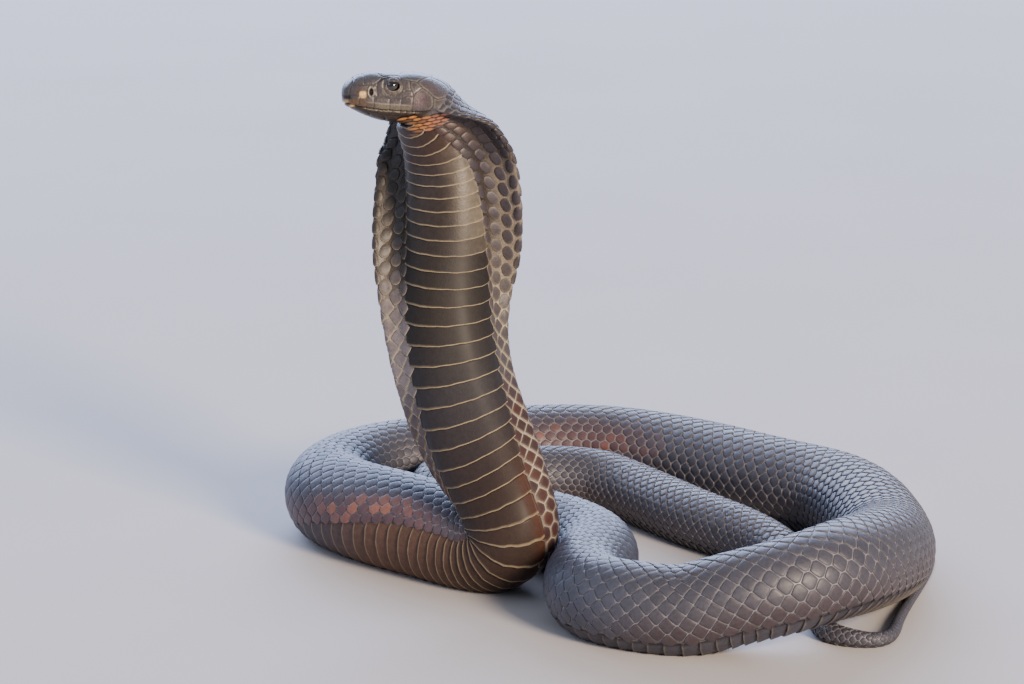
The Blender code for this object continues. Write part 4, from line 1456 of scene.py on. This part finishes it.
@dataclass
class ScaleShape:
    """The template of one scale: spokes round it and rings from its middle to its rim.

    A quarter of the way round has one spoke ahead, one to each corner of the cell and two between
    the corners.
    """

    spokes: int = 20
    rings: tuple[float, ...] = (0.55, 0.88, 1.0)

    def template(self) -> tuple[Array, Array, Array, tuple[Array, Array]]:
        """Place round the scale in spokes, share of the radius and side of each vertex, and the faces.

        Returns:
            Places, shares, a flag that is 1 for the underside, and faces as (loops, totals).
        """
        turn = np.arange(float(self.spokes))
        places = np.concatenate([[0.0], np.tile(turn, len(self.rings) + 1)])
        shares = np.concatenate([[0.0], np.repeat([*self.rings, 0.97], self.spokes)])
        under = np.concatenate([np.zeros(1 + self.spokes * len(self.rings)), np.ones(self.spokes)])
        rings = 1 + np.arange((len(self.rings) + 1) * self.spokes).reshape(-1, self.spokes)
        faces = [fan(0, rings[0]), band(rings[:-1], rings[1:]), rings[-1:, ::-1]]
        return places, shares, under, face_list(faces)

    def angles(self, places: Array, first: Array, second: Array) -> Array:
        """Angle of each place round each scale.

        Args:
            places: places in spokes.
            first, second: angles of the two corners in a quarter, one each a scale.

        Returns:
            Angles, as scales by places.
        """
        quarter = self.spokes / 4.0
        turn, share = np.divmod(places, quarter)
        back = turn % 2 == 1
        share = np.where(back, quarter - share, share)[None, :]
        between = first + (second - first) * (share - 1.0) / (quarter - 2.0)
        angle = np.where(share <= 1.0, first * share, between)
        past = second + (np.pi / 2.0 - second) * (share - quarter + 1.0)
        angle = np.where(share > quarter - 1.0, past, angle)
        return np.pi / 2.0 * (turn + back)[None, :] + np.where(back[None, :], -angle, angle)


@dataclass
class ScaleCoat:
    """All the small scales, as closed plates planted in the skin with raised hind edges.

    The sizes are the longest, the widest and the gap at named places. The heights of the front and
    hind edges, of the dome and of the rounded rim each have what the hood adds to them, and so has
    squareness, the power that a cell's corners are rounded with. A cell keeps at least a share of its
    room or a length in millimetres, whichever is less. Below the spacing and the length of relief_from
    the relief shrinks. On the belly strip, belly_cell gives the share of the length, the slanting
    distance, the share of the spacing and the power. Shine is the gloss and how far it varies.
    """

    table: SkinTable
    markings: Markings
    shape: ScaleShape = field(default_factory=ScaleShape)
    sizes: tuple[tuple[str, float, float, float], ...] = (
        ("nape", 5.2, 4.8, 0.4), ("throat", 5.7, 5.2, 0.45), ("hood_top", 6.6, 5.6, 0.45),
        ("hood", 7.2, 5.9, 0.45), ("hood_low", 7.6, 6.2, 0.5), ("neck_top", 8.0, 6.4, 0.6),
        ("neck_mid", 8.6, 7.4, 0.6), ("neck_foot", 8.4, 7.4, 0.65), ("elbow", 8.0, 7.0, 0.6),
        ("near_first", 8.0, 7.0, 0.45), ("tip", 9.0, 8.0, 0.3),
    )
    hood_turn: float = 33.0
    hood_slant: float = 0.3
    squareness: tuple[float, float] = (14.0, -11.2)
    least_half: tuple[float, float] = (0.32, 2.0)
    least_reach: tuple[float, float] = (0.34, 1.6)
    relief_from: tuple[float, float] = (1.8, 4.2)
    belly_cell: tuple[float, float, float, float] = (0.56, 9.0, 0.5, 2.3)
    front: tuple[float, float] = (-0.16, 0.06)
    hind: tuple[float, float] = (0.24, 0.04)
    dome: tuple[float, float] = (0.15, 0.17)
    drop: tuple[float, float] = (0.08, 0.06)
    root: float = -0.62
    tone_change: float = 0.2
    shine: tuple[float, float] = (0.7, 0.5)
    seed: int = 11

    def outline(self, angle: Array, half: Array, slant: Array, reach: Array, side: Array,
                power: Array) -> Array:
        """Radius of the rounded cell that a scale has in a staggered lattice.

        The cell's sides are two across the body at the distance half, four slanting ones at the
        distance reach, and two along the body at the distance side. With each side's share of its
        distance raised to a power and added up, the corners are rounded, more so for a low power.
        """
        ahead, over = np.abs(np.cos(angle)) / half, np.abs(np.sin(angle)) / side
        one = np.abs(np.cos(angle) * np.cos(slant) + np.sin(angle) * np.sin(slant)) / reach
        two = np.abs(np.cos(angle) * np.cos(slant) - np.sin(angle) * np.sin(slant)) / reach
        return (ahead ** power + over ** power + one ** power + two ** power) ** (-1.0 / power)

    def shifted(self, s: Array, q: Array, along: Array, strip: bool) -> Array:
        """Distances s at true lengths along the skin, fore and aft of each scale's middle.

        Args:
            s, q: middle of each scale.
            along: lengths from the middle.
            strip: on the belly strip.

        Returns:
            Distances, in the shape of along.
        """
        wide = np.zeros(along.shape)
        for share in np.unique(q):
            own = q[:, 0] == share
            run = np.cumsum(self.table.row_stretch(share, strip)) * self.table.step
            start = np.interp(s[own], self.table.s, run)
            wide[own] = np.interp(start + along[own], run, self.table.s)
        return wide

    def plates(self, lattice: Lattice) -> MeshParts:
        """Plates on one stretch of the body.

        Args:
            lattice: how the scales are set out.

        Returns:
            The arrays of their mesh.
        """
        table = self.table
        s, q, long = (values[:, None] for values in lattice.places(table))
        f = table.round_share(s, q, lattice.strip)
        girth = table.row_value(table.girth, s)
        low = table.row_value(table.edge_low, s)
        width = 2.0 * low if lattice.strip else table.row_value(table.edge_high, s) - low
        spacing = girth * width / lattice.rows
        diagonal = np.hypot(long / 2.0, spacing)
        hood = self.markings.span(s, "throat", "neck_top", 14.0) * (0.0 if lattice.strip else 1.0)
        longest, widest, gap = (table.form.named(self.sizes, s, column) for column in (1, 2, 3))
        half = np.minimum(long / 2.0 - gap * 0.25, longest / 2.0)
        reach = np.minimum(diagonal / 2.0 - gap / 2.0, widest / 2.0)
        small = np.minimum(1.0, np.minimum(spacing / self.relief_from[0], long / self.relief_from[1]))
        half = np.maximum(half, np.minimum(self.least_half[0] * long, self.least_half[1]))
        reach = np.maximum(reach, np.minimum(self.least_reach[0] * diagonal, self.least_reach[1]))
        side = spacing - gap / 2.0
        slant = np.arctan2(spacing, long / 2.0) + hood * self.hood_slant
        power = self.squareness[0] + self.squareness[1] * hood
        if lattice.strip:
            ahead, reach, over, power = self.belly_cell
            half, side = ahead * long, over * spacing
        around, shares, under, faces = self.shape.template()
        first = np.arctan2(np.maximum(reach / half - np.cos(slant), 0.02), np.sin(slant))
        second = np.arctan2(np.cos(slant), np.maximum(reach / side - np.sin(slant), 0.02))
        angles = self.shape.angles(around, np.minimum(first, 0.7), np.clip(second, 0.9, 1.5))
        radius = self.outline(angles, half, slant, reach, side, power)
        rim_side = ramp(0.10, 0.20, q) * ramp(0.90, 0.80, q)
        turn = np.where(q < 0.5, 1.0, -1.0) * (1.0 - 1.8 * rim_side) * (1.0 - bump(q, 0.5, 0.12))
        turn = np.radians(self.hood_turn) * hood * turn
        x = radius * np.cos(angles) * shares
        y = radius * np.sin(angles) * shares
        u = x * np.cos(turn) - y * np.sin(turn)
        v = x * np.sin(turn) + y * np.cos(turn)
        tilt = x / half
        front, hind, dome, drop = (body + more * hood for body, more in
                                   (self.front, self.hind, self.dome, self.drop))
        lift = front + (hind - front) * (0.5 + 0.5 * tilt)
        height = (lift + dome * (1.0 - shares ** 2) - drop * ramp(0.86, 1.0, shares)) * small
        height = np.where(under > 0.5, self.root * small, height)
        points = table.lifted(self.shifted(s, q, u, lattice.strip), f + v / girth, height)
        rng = np.random.default_rng(self.seed + lattice.rows)
        chance = rng.random(s.shape)
        tone = 1.0 + self.tone_change * (rng.random(s.shape) - 0.5)
        middle = (self.markings.throat(0.2 + 0.0 * s, 0.8 + 0.2 * chance) if lattice.strip
                  else self.markings.scale(s, q, chance)) * tone[..., None]
        rim, strength = self.markings.scale_rim_and_highlight(s, q)
        # The pale rim is stronger toward the raised hind edge: partly the scale's own pale edge, partly a
        # painted highlight.
        edge = ramp(0.84, 1.0, shares) * (0.35 + 0.65 * ramp(-0.3, 0.8, tilt))
        tint = mix(middle, rim, edge * strength)
        level, change = self.shine
        gloss = np.clip(level + change * (rng.random(s.shape) - 0.5), 0.0, 1.0) - 0.25 * edge
        patch = 0.00135 / np.maximum(half, reach)
        uv = np.stack([s / table.form.at["tip"] + x * patch, f + y * patch], axis=2)
        return repeated(points, faces, tint, gloss, uv)

    def build(self, name: str, lattices: list[Lattice], finish: bpy.types.Material) -> bpy.types.Object:
        """One piece of the coat from the lattices on its stretch."""
        return make_piece(name, join_parts([self.plates(lattice) for lattice in lattices]), finish)


@dataclass
class ThroatDrape:
    """Lens-shaped scales that hang in rows over the fold between the jaw and the neck.

    The fold is bridged by a height map. It is made on a grid in the head's side plane, back from
    the snout and up from the head's axis, with the greatest distance out to the side at each place,
    and is then closed, a spreading of its high places followed by a spreading of its low ones. A
    scale whose cells fall further than deepest is left out, and so is one past the upper or lower
    bound, which are lines of (distance back, height). The scales are set out from the place first in
    columns and rows along a line with the slope rise, a share of their length apart, and each is
    moved at random within jitter. Salmon says where their gold turns to salmon.
    """

    table: SkinTable
    markings: Markings
    shape: ScaleShape = field(default_factory=ScaleShape)
    low: tuple[float, float] = (16.0, -24.0)
    high: tuple[float, float] = (52.0, -2.0)
    cell: float = 0.3
    closing: int = 8
    upper: tuple[tuple[float, float], ...] = ((20.0, -10.4), (24.0, -9.9), (28.5, -8.0), (33.0, -7.9),
                                              (36.2, -6.9), (42.0, -5.9), (46.5, -4.2))
    lower: tuple[tuple[float, float], ...] = ((20.0, -14.2), (23.0, -17.2), (28.7, -17.4), (34.2, -14.9),
                                              (40.1, -11.9), (46.5, -9.0))
    reach: tuple[float, float] = (14.0, 62.0)
    nothing: float = -5.0
    small_gap: int = 3
    least: float = 0.6
    bridge: float = 3.0
    softening: int = 6
    deepest: float = 11.0
    first: tuple[float, float] = (20.0, -12.5)
    ends: tuple[float, float] = (21.0, 43.0)
    columns: int = 12
    rows: tuple[int, int] = (-16, 16)
    length: float = 4.6
    apart: float = 0.8
    spacing: float = 1.3
    breadth: float = 0.54
    jitter: float = 0.5
    rise: float = 0.27
    salmon: tuple[float, float] = (27.0, 41.0)
    proud: float = 0.5
    tilt: float = 0.22
    dome: float = 0.3
    root: float = -0.9
    seed: int = 23

    def spread(self, values: Array, count: int, low: bool) -> Array:
        """Each cell's greatest, or least, value among its neighbours, again and again.

        Args:
            values: the grid.
            count: how many cells far.
            low: the least value instead of the greatest.

        Returns:
            The new grid.
        """
        pick = np.minimum if low else np.maximum
        for turn in range(count):
            near = [np.roll(values, shift, axis=axis) for axis in (0, 1) for shift in (-1, 1)]
            if turn % 2:
                near += [np.roll(value, shift, axis=1) for value in near[:2] for shift in (-1, 1)]
            for value in near:
                values = pick(values, value)
        return values

    def closed(self, values: Array, count: int) -> Array:
        """The grid with its gaps and clefts up to twice this many cells wide filled."""
        return self.spread(self.spread(values, count, False), count, True)

    def height_map(self, hand: float) -> tuple[Array, Array]:
        """Distance out to the side on the grid, with the fold bridged.

        Args:
            hand: 1 on the animal's left, -1 on its right.

        Returns:
            The distances, and where the animal is.
        """
        form = self.table.form
        rows = (self.table.s > self.reach[0]) & (self.table.s < self.reach[1])
        points = self.table.points[rows].reshape(-1, 3)
        side = hand * np.cross(form.head_belly, form.axis)
        back, up = form.head_place(points)
        out = (points - form.head_origin()) @ side
        size = ((np.array(self.high) - self.low) / self.cell).astype(int) + 1
        i, j = (((place - low) / self.cell).astype(int) for place, low in zip((back, up), self.low))
        inside = (i >= 0) & (j >= 0) & (i < size[0]) & (j < size[1]) & (out > 0.0)
        grid = np.full(tuple(size), self.nothing)
        np.maximum.at(grid, (i[inside], j[inside]), out[inside])
        present = self.closed(grid, self.small_gap) > self.least
        grid = np.maximum(self.closed(grid, self.closing), self.bridge)
        for _ in range(self.softening):
            grid = sum(np.roll(grid, shift, axis=axis) for axis in (0, 1) for shift in (-1, 1)) / 4.0
        return grid, present

    def plates(self, hand: float) -> MeshParts:
        """The scales on one side.

        Args:
            hand: 1 on the animal's left, -1 on its right.

        Returns:
            The arrays of their mesh.
        """
        form = self.table.form
        grid, present = self.height_map(hand)
        column, row = np.meshgrid(np.arange(self.columns), np.arange(*self.rows), indexing="ij")
        turn = math.atan(self.rise)
        run = (column + 0.5 * (row % 2)).ravel() * self.length * self.apart
        drop = row.ravel() * self.spacing
        rng = np.random.default_rng(self.seed)
        run = run + self.jitter * (rng.random(len(run)) - 0.5)
        back = self.first[0] + run * math.cos(turn) - drop * math.sin(turn)
        up = self.first[1] + run * math.sin(turn) + drop * math.cos(turn)
        keep = (back > self.ends[0]) & (back < self.ends[1])
        keep &= (up < np.interp(back, *zip(*self.upper))) & (up > np.interp(back, *zip(*self.lower)))
        back, up = back[keep][:, None], up[keep][:, None]
        around, shares, under, faces = self.shape.template()
        angle = around * 2.0 * np.pi / self.shape.spokes
        half = self.length / 2.0 * (0.85 + 0.3 * rng.random(back.shape))
        wide = self.spacing * self.breadth
        x = half * np.cos(angle) * shares
        y = wide * np.sin(angle) * shares * (1.0 - 0.25 * np.cos(angle) ** 2)
        wide_back = back + x * math.cos(turn) - y * math.sin(turn)
        wide_up = up + x * math.sin(turn) + y * math.cos(turn)
        i = np.clip((wide_back - self.low[0]) / self.cell, 0.0, grid.shape[0] - 1.01)
        j = np.clip((wide_up - self.low[1]) / self.cell, 0.0, grid.shape[1] - 1.01)
        a, b = i.astype(int), j.astype(int)
        whole = present[a, b].all(axis=1) & (np.ptp(grid[a, b], axis=1) < self.deepest)
        a, b, i, j, half, back, up, x, wide_back, wide_up = (
            values[whole] for values in (a, b, i, j, half, back, up, x, wide_back, wide_up))
        out = bilinear(grid, a, b, i - a, j - b)
        height = self.proud + self.tilt * x / half + self.dome * (1.0 - shares ** 2)
        height = np.where(under > 0.5, self.root, height)
        side = hand * np.cross(form.head_belly, form.axis)
        points = (form.head_origin() + wide_back[:, :, None] * form.axis
                  - wide_up[:, :, None] * form.head_belly + (out + height)[:, :, None] * side)
        edge = ramp(0.55, 1.0, shares)
        middle = self.markings.throat(ramp(*self.salmon, back), rng.random(back.shape))
        tint = mix(middle, self.markings.umber, 0.85 * np.broadcast_to(edge, x.shape))
        gloss = np.broadcast_to(0.9 - 0.4 * edge, x.shape)
        across = 0.5 + 0.02 * hand * up + PATCH * y / self.length + 0.0 * x
        uv = np.stack([back / form.at["tip"] + PATCH * x / half, across], axis=2)
        return repeated(points, faces if hand > 0.0 else self.backward(*faces), tint, gloss, uv)

    @staticmethod
    def backward(loops: Array, totals: Array) -> tuple[Array, Array]:
        """The same faces with their corners in the other order."""
        ends = np.cumsum(totals)
        return np.concatenate([loops[end - total:end][::-1] for end, total in zip(ends, totals)]), totals


@dataclass
class ScuteRow:
    """The broad belly scutes, each a closed plate whose hind edge lies over the next one.

    Profile is the set of shares of the length that have a vertex, and sweep is how far the ends lie
    ahead of the middle at named places. The notches are waves of the hind edge, each with its depth,
    least number and range of numbers of radians from the middle to an end. A body with less than
    full_girth has lower scutes.
    """

    table: SkinTable
    markings: Markings
    counter: Counter
    columns: int = 29
    overlap: float = 1.03
    profile: tuple[float, ...] = (-0.16, 0.08, 0.42, 0.74, 0.86, 0.93, 0.975, 1.0)
    height: float = 0.62
    front: float = -0.3
    rounding: float = 0.16
    under: float = -0.45
    full_girth: float = 60.0
    sweep: tuple[tuple[str, float], ...] = (("throat", 4.6), ("hood_top", 2.4), ("neck_mid", 2.4),
                                            ("neck_base", 2.9), ("near_mid", 2.2), ("tip", 1.6))
    rim_width: float = 0.46
    notches: tuple[tuple[float, float, float], ...] = ((0.10, 9.0, 5.0), (0.07, 19.0, 9.0))
    tone_change: float = 0.14
    seed: int = 5

    def plates(self, start: float, end: float) -> MeshParts:
        """Plates for every scute that starts between two distances.

        Args:
            start: the first distance.
            end: the last distance.

        Returns:
            The arrays of their mesh.
        """
        numbers = np.arange(*(math.ceil(self.counter.number(place)) for place in (start, end)))
        first, last = (self.counter.place(numbers + k)[:, None, None] for k in (0.0, 1.0))
        share = np.array([*self.profile, self.profile[-1], self.profile[0]])
        below = np.array([0.0] * len(self.profile) + [1.0, 1.0])
        across = np.linspace(-1.0, 1.0, self.columns)[:, None]
        across = across * (1.0 + 0.06 * (1.0 - across ** 2))
        edge = self.table.row_value(self.table.edge_low, last)
        sweep = self.table.form.named(self.sweep, last)
        wave = np.random.default_rng(self.seed).random((len(numbers), 4))[:, :, None, None]
        length = last - first
        notch = sum(deep * np.sin(across * (least + more * wave[:, 2 * k]) + 6.3 * wave[:, 2 * k + 1])
                    for k, (deep, least, more) in enumerate(self.notches))
        f = self.overlap * edge * across
        stretch = self.table.blend(self.table.stretch, last + 0.0 * f, f)
        back = sweep * across ** 2 / np.clip(stretch, 0.8, 3.0)
        s = first + length * share - back + notch * ramp(0.5, 1.0, share)
        side = 1.0 - ramp(0.86, 1.0, np.abs(across))
        small = np.minimum(1.0, self.table.row_value(self.table.girth, last) / self.full_girth)
        rise = self.front + (self.height - self.front) * np.clip(share, 0.0, 1.0) ** 0.8
        rise = rise - self.rounding * (share >= 1.0)
        top = rise * (0.55 + 0.45 * side) - 0.12 * (1.0 - side)
        height = np.where(below > 0.5, self.under, top) * small
        points = self.table.lifted(s, np.broadcast_to(f, s.shape) % 1.0, height)
        body = self.markings.scute(last + 0.0 * f, across)
        body = body * (1.0 + self.tone_change * (wave[:, 0] - 0.5))[..., None]
        wide = self.rim_width * (1.0 + 0.55 * ramp(0.1, -0.9, across))
        rim = ramp(1.15, 0.55, (1.0 - share) * length / wide)
        rim = rim * (1.0 - 0.35 * ramp(0.2, -0.9, across)) * (below < 0.5)
        rim = rim * self.markings.scute_rim(last)
        tint = mix(body, self.markings.tan, rim)
        gloss = self.markings.span(last, "nape", "hood_low", 30.0) - 0.2 * rim
        columns, around = s.shape[1:]
        grid = np.arange(columns * around).reshape(columns, around)
        sides = band(grid[:-1], grid[1:])[::-1, ::-1, ::-1]
        faces = face_list([grid[-1:, ::-1], grid[:1], sides])
        onward = last / self.table.form.at["tip"] + 0.0028 * (share - 1.0)
        sideways = 0.5 + 0.45 * edge * across
        uv = np.stack(np.broadcast_arrays(onward, sideways), axis=3)
        return repeated(points, faces, tint, gloss, uv)


@dataclass
class Eyes:
    """Two glossy eyes, each a ball with a round pupil in a dark iris."""

    form: BodyForm
    around: int = 64
    rings: int = 40
    pupil: float = 1.25
    iris: float = 2.3
    bulge: float = 0.12
    look_ahead: float = 0.16
    look_down: float = 0.12
    brown: Array = shade("#1a1009")
    black: Array = shade("#050404")

    def build(self, hand: float, node: str, finish: bpy.types.Material) -> bpy.types.Object:
        """The ball in the place of one of the frame's eyes.

        Points are on a sphere about the node's middle, by the angle from the way the eye looks and
        the turn about it, and the middle of the sight stands out a little.

        Args:
            hand: 1 on the animal's left, -1 on its right.
            node: the node that it replaces.
            finish: its material.

        Returns:
            The eye.
        """
        centre, radius = eye_ball(node)
        side = np.cross(self.form.head_belly, self.form.axis)
        look = unit(hand * side - self.look_ahead * self.form.axis - self.look_down * self.form.head_belly)
        one = unit(np.cross(look, self.form.axis))
        two = np.cross(look, one)
        polar = np.pi * np.arange(1, self.rings) / self.rings
        turn = 2.0 * np.pi * np.arange(self.around) / self.around
        reach = radius * np.sin(polar)[:, None]
        ring = (np.cos(turn)[None, :, None] * one + np.sin(turn)[None, :, None] * two) * reach[:, :, None]
        bulge = self.bulge * bump(polar, 0.0, 0.55)
        ring = ring + ((radius + bulge) * np.cos(polar))[:, None, None] * look
        poles = np.stack([look * (radius + self.bulge), -look * radius])
        points = centre + np.vstack([ring.reshape(-1, 3), poles])
        off = np.concatenate([np.broadcast_to(reach, (len(polar), self.around)).ravel(), [0.0, radius]])
        away = np.concatenate([np.broadcast_to(polar[:, None], reach.shape[:1] + (self.around,)).ravel(),
                               [0.0, np.pi]])
        share = ramp(self.pupil - 0.12, self.pupil + 0.12, off)
        share = share * (1.0 - ramp(self.iris - 0.5, self.iris + 0.1, off)) * (away < 1.5)
        tint = layered(self.black, off.shape, (self.brown, share))
        rows = np.arange(len(polar) * self.around).reshape(-1, self.around)
        faces = face_list([band(rows[:-1], rows[1:]), fan(len(points) - 2, rows[0]),
                           fan(len(points) - 1, rows[-1], False)])
        parts = MeshParts(points, *faces, tint, np.ones(len(points)))
        return make_piece("glazed_" + node, parts, finish, (node,))


@dataclass(frozen=True)
class FloorFinish:
    """Pale matt plaster, rolled smooth, with a faint cloudiness a hand's breadth across."""

    name: str = "pale_plaster"
    colour: str = "#c9c4c2"
    dark: str = "#bdb8b7"
    roughness: float = 0.75
    cloud: float = 0.12

    def make(self) -> bpy.types.Material:
        """Build the material's nodes."""
        finish, tree, shader = new_finish(self.name)
        shader.inputs["Roughness"].default_value = self.roughness
        place = add_node(tree, "ShaderNodeTexCoord")
        cloud = add_node(tree, "ShaderNodeTexNoise", {"Scale": 1.0 / self.cloud, "Detail": 2.0},
                         {"Vector": (place, "Object")})
        colour = add_node(tree, "ShaderNodeMix", {"data_type": "RGBA"})
        tree.links.new(cloud.outputs["Fac"], colour.inputs[0])
        colour.inputs[6].default_value = (*linear(self.dark), 1.0)
        colour.inputs[7].default_value = (*linear(self.colour), 1.0)
        tree.links.new(colour.outputs[2], shader.inputs["Base Color"])
        return finish


class Lamp(NamedTuple):
    """A soft area light: its place and size in metres, its power in watts and its colour."""

    name: str
    place: tuple[float, float, float]
    size: tuple[float, float]
    power: float
    colour: str


@dataclass
class Studio:
    """Camera at the photograph's angle, a pale floor and soft lights."""

    lamps: tuple[Lamp, ...] = (
        Lamp("key", (2.0, -3.1, 1.65), (0.9, 0.9), 300.0, "#ffe7cc"),
        Lamp("fill", (-2.6, -1.0, 1.6), (2.0, 1.6), 12.0, "#d9e4ff"),
        Lamp("sky_panel", (-0.6, 3.2, 1.6), (5.0, 2.2), 330.0, "#c6d6ff"),
    )
    lit_place: tuple[float, float, float] = (0.0, 0.0, 0.08)
    sky: str = "#c9d3e8"
    sky_strength: float = 0.6
    camera_place: tuple[float, float, float] = (-0.04298, -2.52239, 0.7774)
    camera_pitch: float = 75.0
    lens: float = 210.0
    floor_half: float = 5.0

    def light(self, lamp: Lamp) -> None:
        """An area light that faces the middle of the animal and isn't seen itself."""
        data = bpy.data.lights.new(lamp.name, "AREA")
        data.shape = "RECTANGLE"
        data.size, data.size_y = lamp.size
        data.energy = lamp.power
        data.color = linear(lamp.colour)
        light = in_scene(lamp.name, data)
        light.location = lamp.place
        light.visible_camera = False
        aim = Vector(self.lit_place) - Vector(lamp.place)
        light.rotation_euler = aim.to_track_quat("-Z", "Y").to_euler()

    def build(self) -> None:
        """Camera, floor, world and lights."""
        data = bpy.data.cameras.new("camera")
        data.lens = self.lens
        data.sensor_width = 36.0
        data.clip_end = 30.0
        camera = in_scene("camera", data)
        camera.location = self.camera_place
        camera.rotation_euler = (math.radians(self.camera_pitch), 0.0, 0.0)
        bpy.context.scene.camera = camera
        half = self.floor_half
        mesh = bpy.data.meshes.new("floor")
        mesh.from_pydata([(-half, -half, 0.0), (half, -half, 0.0), (half, half, 0.0), (-half, half, 0.0)],
                         [], [(0, 1, 2, 3)])
        mesh.materials.append(FloorFinish().make())
        in_scene("floor", mesh)
        world = bpy.data.worlds.new("soft_sky")
        world.use_nodes = True
        sky = world.node_tree.nodes["Background"]
        sky.inputs["Color"].default_value = (*linear(self.sky), 1.0)
        sky.inputs["Strength"].default_value = self.sky_strength
        bpy.context.scene.world = world
        for lamp in self.lamps:
            self.light(lamp)


# Where the first belly scute, the nape's first scale and the throat's scales lie, and how far from the
# tip the last scute is, in millimetres from the snout or the tip
FIRST_SCUTE = 38.0
FIRST_NAPE = 37.4
THROAT_SCALES = (24.0, 36.0)
THROAT_START = 20.0
LAST_SCUTE = 4.0

# Share of a scale's length by which a stretch with another number of rows starts early
JOIN_LEAD = 0.4

# Lengths of scutes and of scales along the centreline at named places, and the scales' stretches with
# the number of rows over the back on each
SCUTE_LENGTHS = (
    ("nape", 4.2), ("throat", 4.9), ("hood_top", 5.6), ("hood", 5.8), ("hood_low", 7.0),
    ("neck_top", 8.1), ("neck_mid", 8.8), ("neck_low", 8.4), ("neck_base", 8.6), ("neck_foot", 7.2),
    ("elbow", 3.7), ("near_start", 3.6), ("near_first", 4.6), ("near_mid", 6.3), ("near_last", 6.9),
    ("left", 6.3), ("vent", 5.0), ("tail_under", 4.0), ("tip", 2.6),
)
SCALE_LENGTHS = (
    ("nape", 3.6), ("throat", 4.8), ("hood_top", 6.1), ("hood", 6.7), ("hood_low", 7.1),
    ("neck_mid", 8.4), ("neck_base", 8.2), ("neck_foot", 7.0), ("elbow", 4.6), ("near_start", 4.4),
    ("near_first", 5.2), ("near_mid", 5.9), ("left", 6.0), ("right", 6.2), ("over_tail", 6.6),
    ("front_mid", 7.6), ("turn_left", 6.4), ("inner_mid", 5.6), ("vent", 5.0), ("tail_under", 4.0),
    ("tip", 2.6),
)
COAT = (
    ("scales_hood", ("hood_top", "hood_low"), (21,)),
    ("scales_neck", ("hood_low", "near_mid"), (21,)),
    ("scales_left", ("near_mid", "back_neck"), (21,)),
    ("scales_back", ("back_neck", "right_start"), (21,)),
    ("scales_right", ("right_start", "front_start"), (21,)),
    ("scales_front", ("front_start", "turn_end"), (21,)),
    ("scales_inner", ("turn_end", "middle_down"), (21,)),
    ("scales_tail", ("middle_down", "vent", "tail_root", "tail_first", "tail_under", "tail_turn",
                     "tail_thin", "tip"), (19, 17, 13, 11, 9, 7, 5)),
)


def main() -> None:
    """Load the frame, then build the studio, the skin, the eyes, the scutes and the scales."""
    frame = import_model()
    Studio().build()
    form = BodyForm()
    table = SkinTable(form)
    LOG.info("skin table: %d rings", len(table.s))
    markings = Markings(table)
    flesh = tuple(sorted(name for name in frame["nodes"] if name not in EYE_NODES))
    Skin(table, HeadRelief(form), HeadPaint(), markings).build(BODY_SKIN.make(), flesh)
    eyes = Eyes(form)
    for hand, node in zip((1.0, -1.0), EYE_NODES):
        eyes.build(hand, node, EYE_GLAZE.make())
    scutes = ScuteRow(table, markings, Counter(form, SCUTE_LENGTHS))
    scute_horn = SCUTE_HORN.make()
    make_piece("belly_scutes", scutes.plates(FIRST_SCUTE, form.at["near_last"]), scute_horn)
    scutes.columns = 19
    make_piece("coil_scutes", scutes.plates(form.at["near_last"], form.at["tip"] - LAST_SCUTE),
               scute_horn)
    coat = ScaleCoat(table, markings)
    horn = SCALE_HORN.make()
    rows = Counter(form, SCALE_LENGTHS)
    before = COAT[0][2][0]
    for name, places, counts in COAT:
        lattices = []
        for a, b, count in zip(places[:-1], places[1:], counts):
            lead = 0.0 if count == before else JOIN_LEAD * float(rows.pitch(form.at[a]))
            lattices.append(Lattice(form.at[a] - lead, form.at[b], count, rows, anchor=form.at[a]))
            before = count
        coat.build(name, lattices, horn)
    top = form.at["hood_top"]
    coat.build("scales_nape", [Lattice(FIRST_NAPE, top, 21, rows, by_skin=True, anchor=top)], horn)
    chin = Counter(form, (("nape", 4.2), ("tip", 4.2)), THROAT_START)
    throat = Lattice(*THROAT_SCALES, 11, chin, by_skin=True, strip=True, anchor=THROAT_SCALES[1])
    coat.build("scales_throat", [throat], horn)
    drape = ThroatDrape(table, markings)
    make_piece("scales_jaw", join_parts([drape.plates(1.0), drape.plates(-1.0)]), horn)


if __name__ == "__main__":
    logging.basicConfig(level=logging.INFO, format="%(name)s %(message)s")
    main()
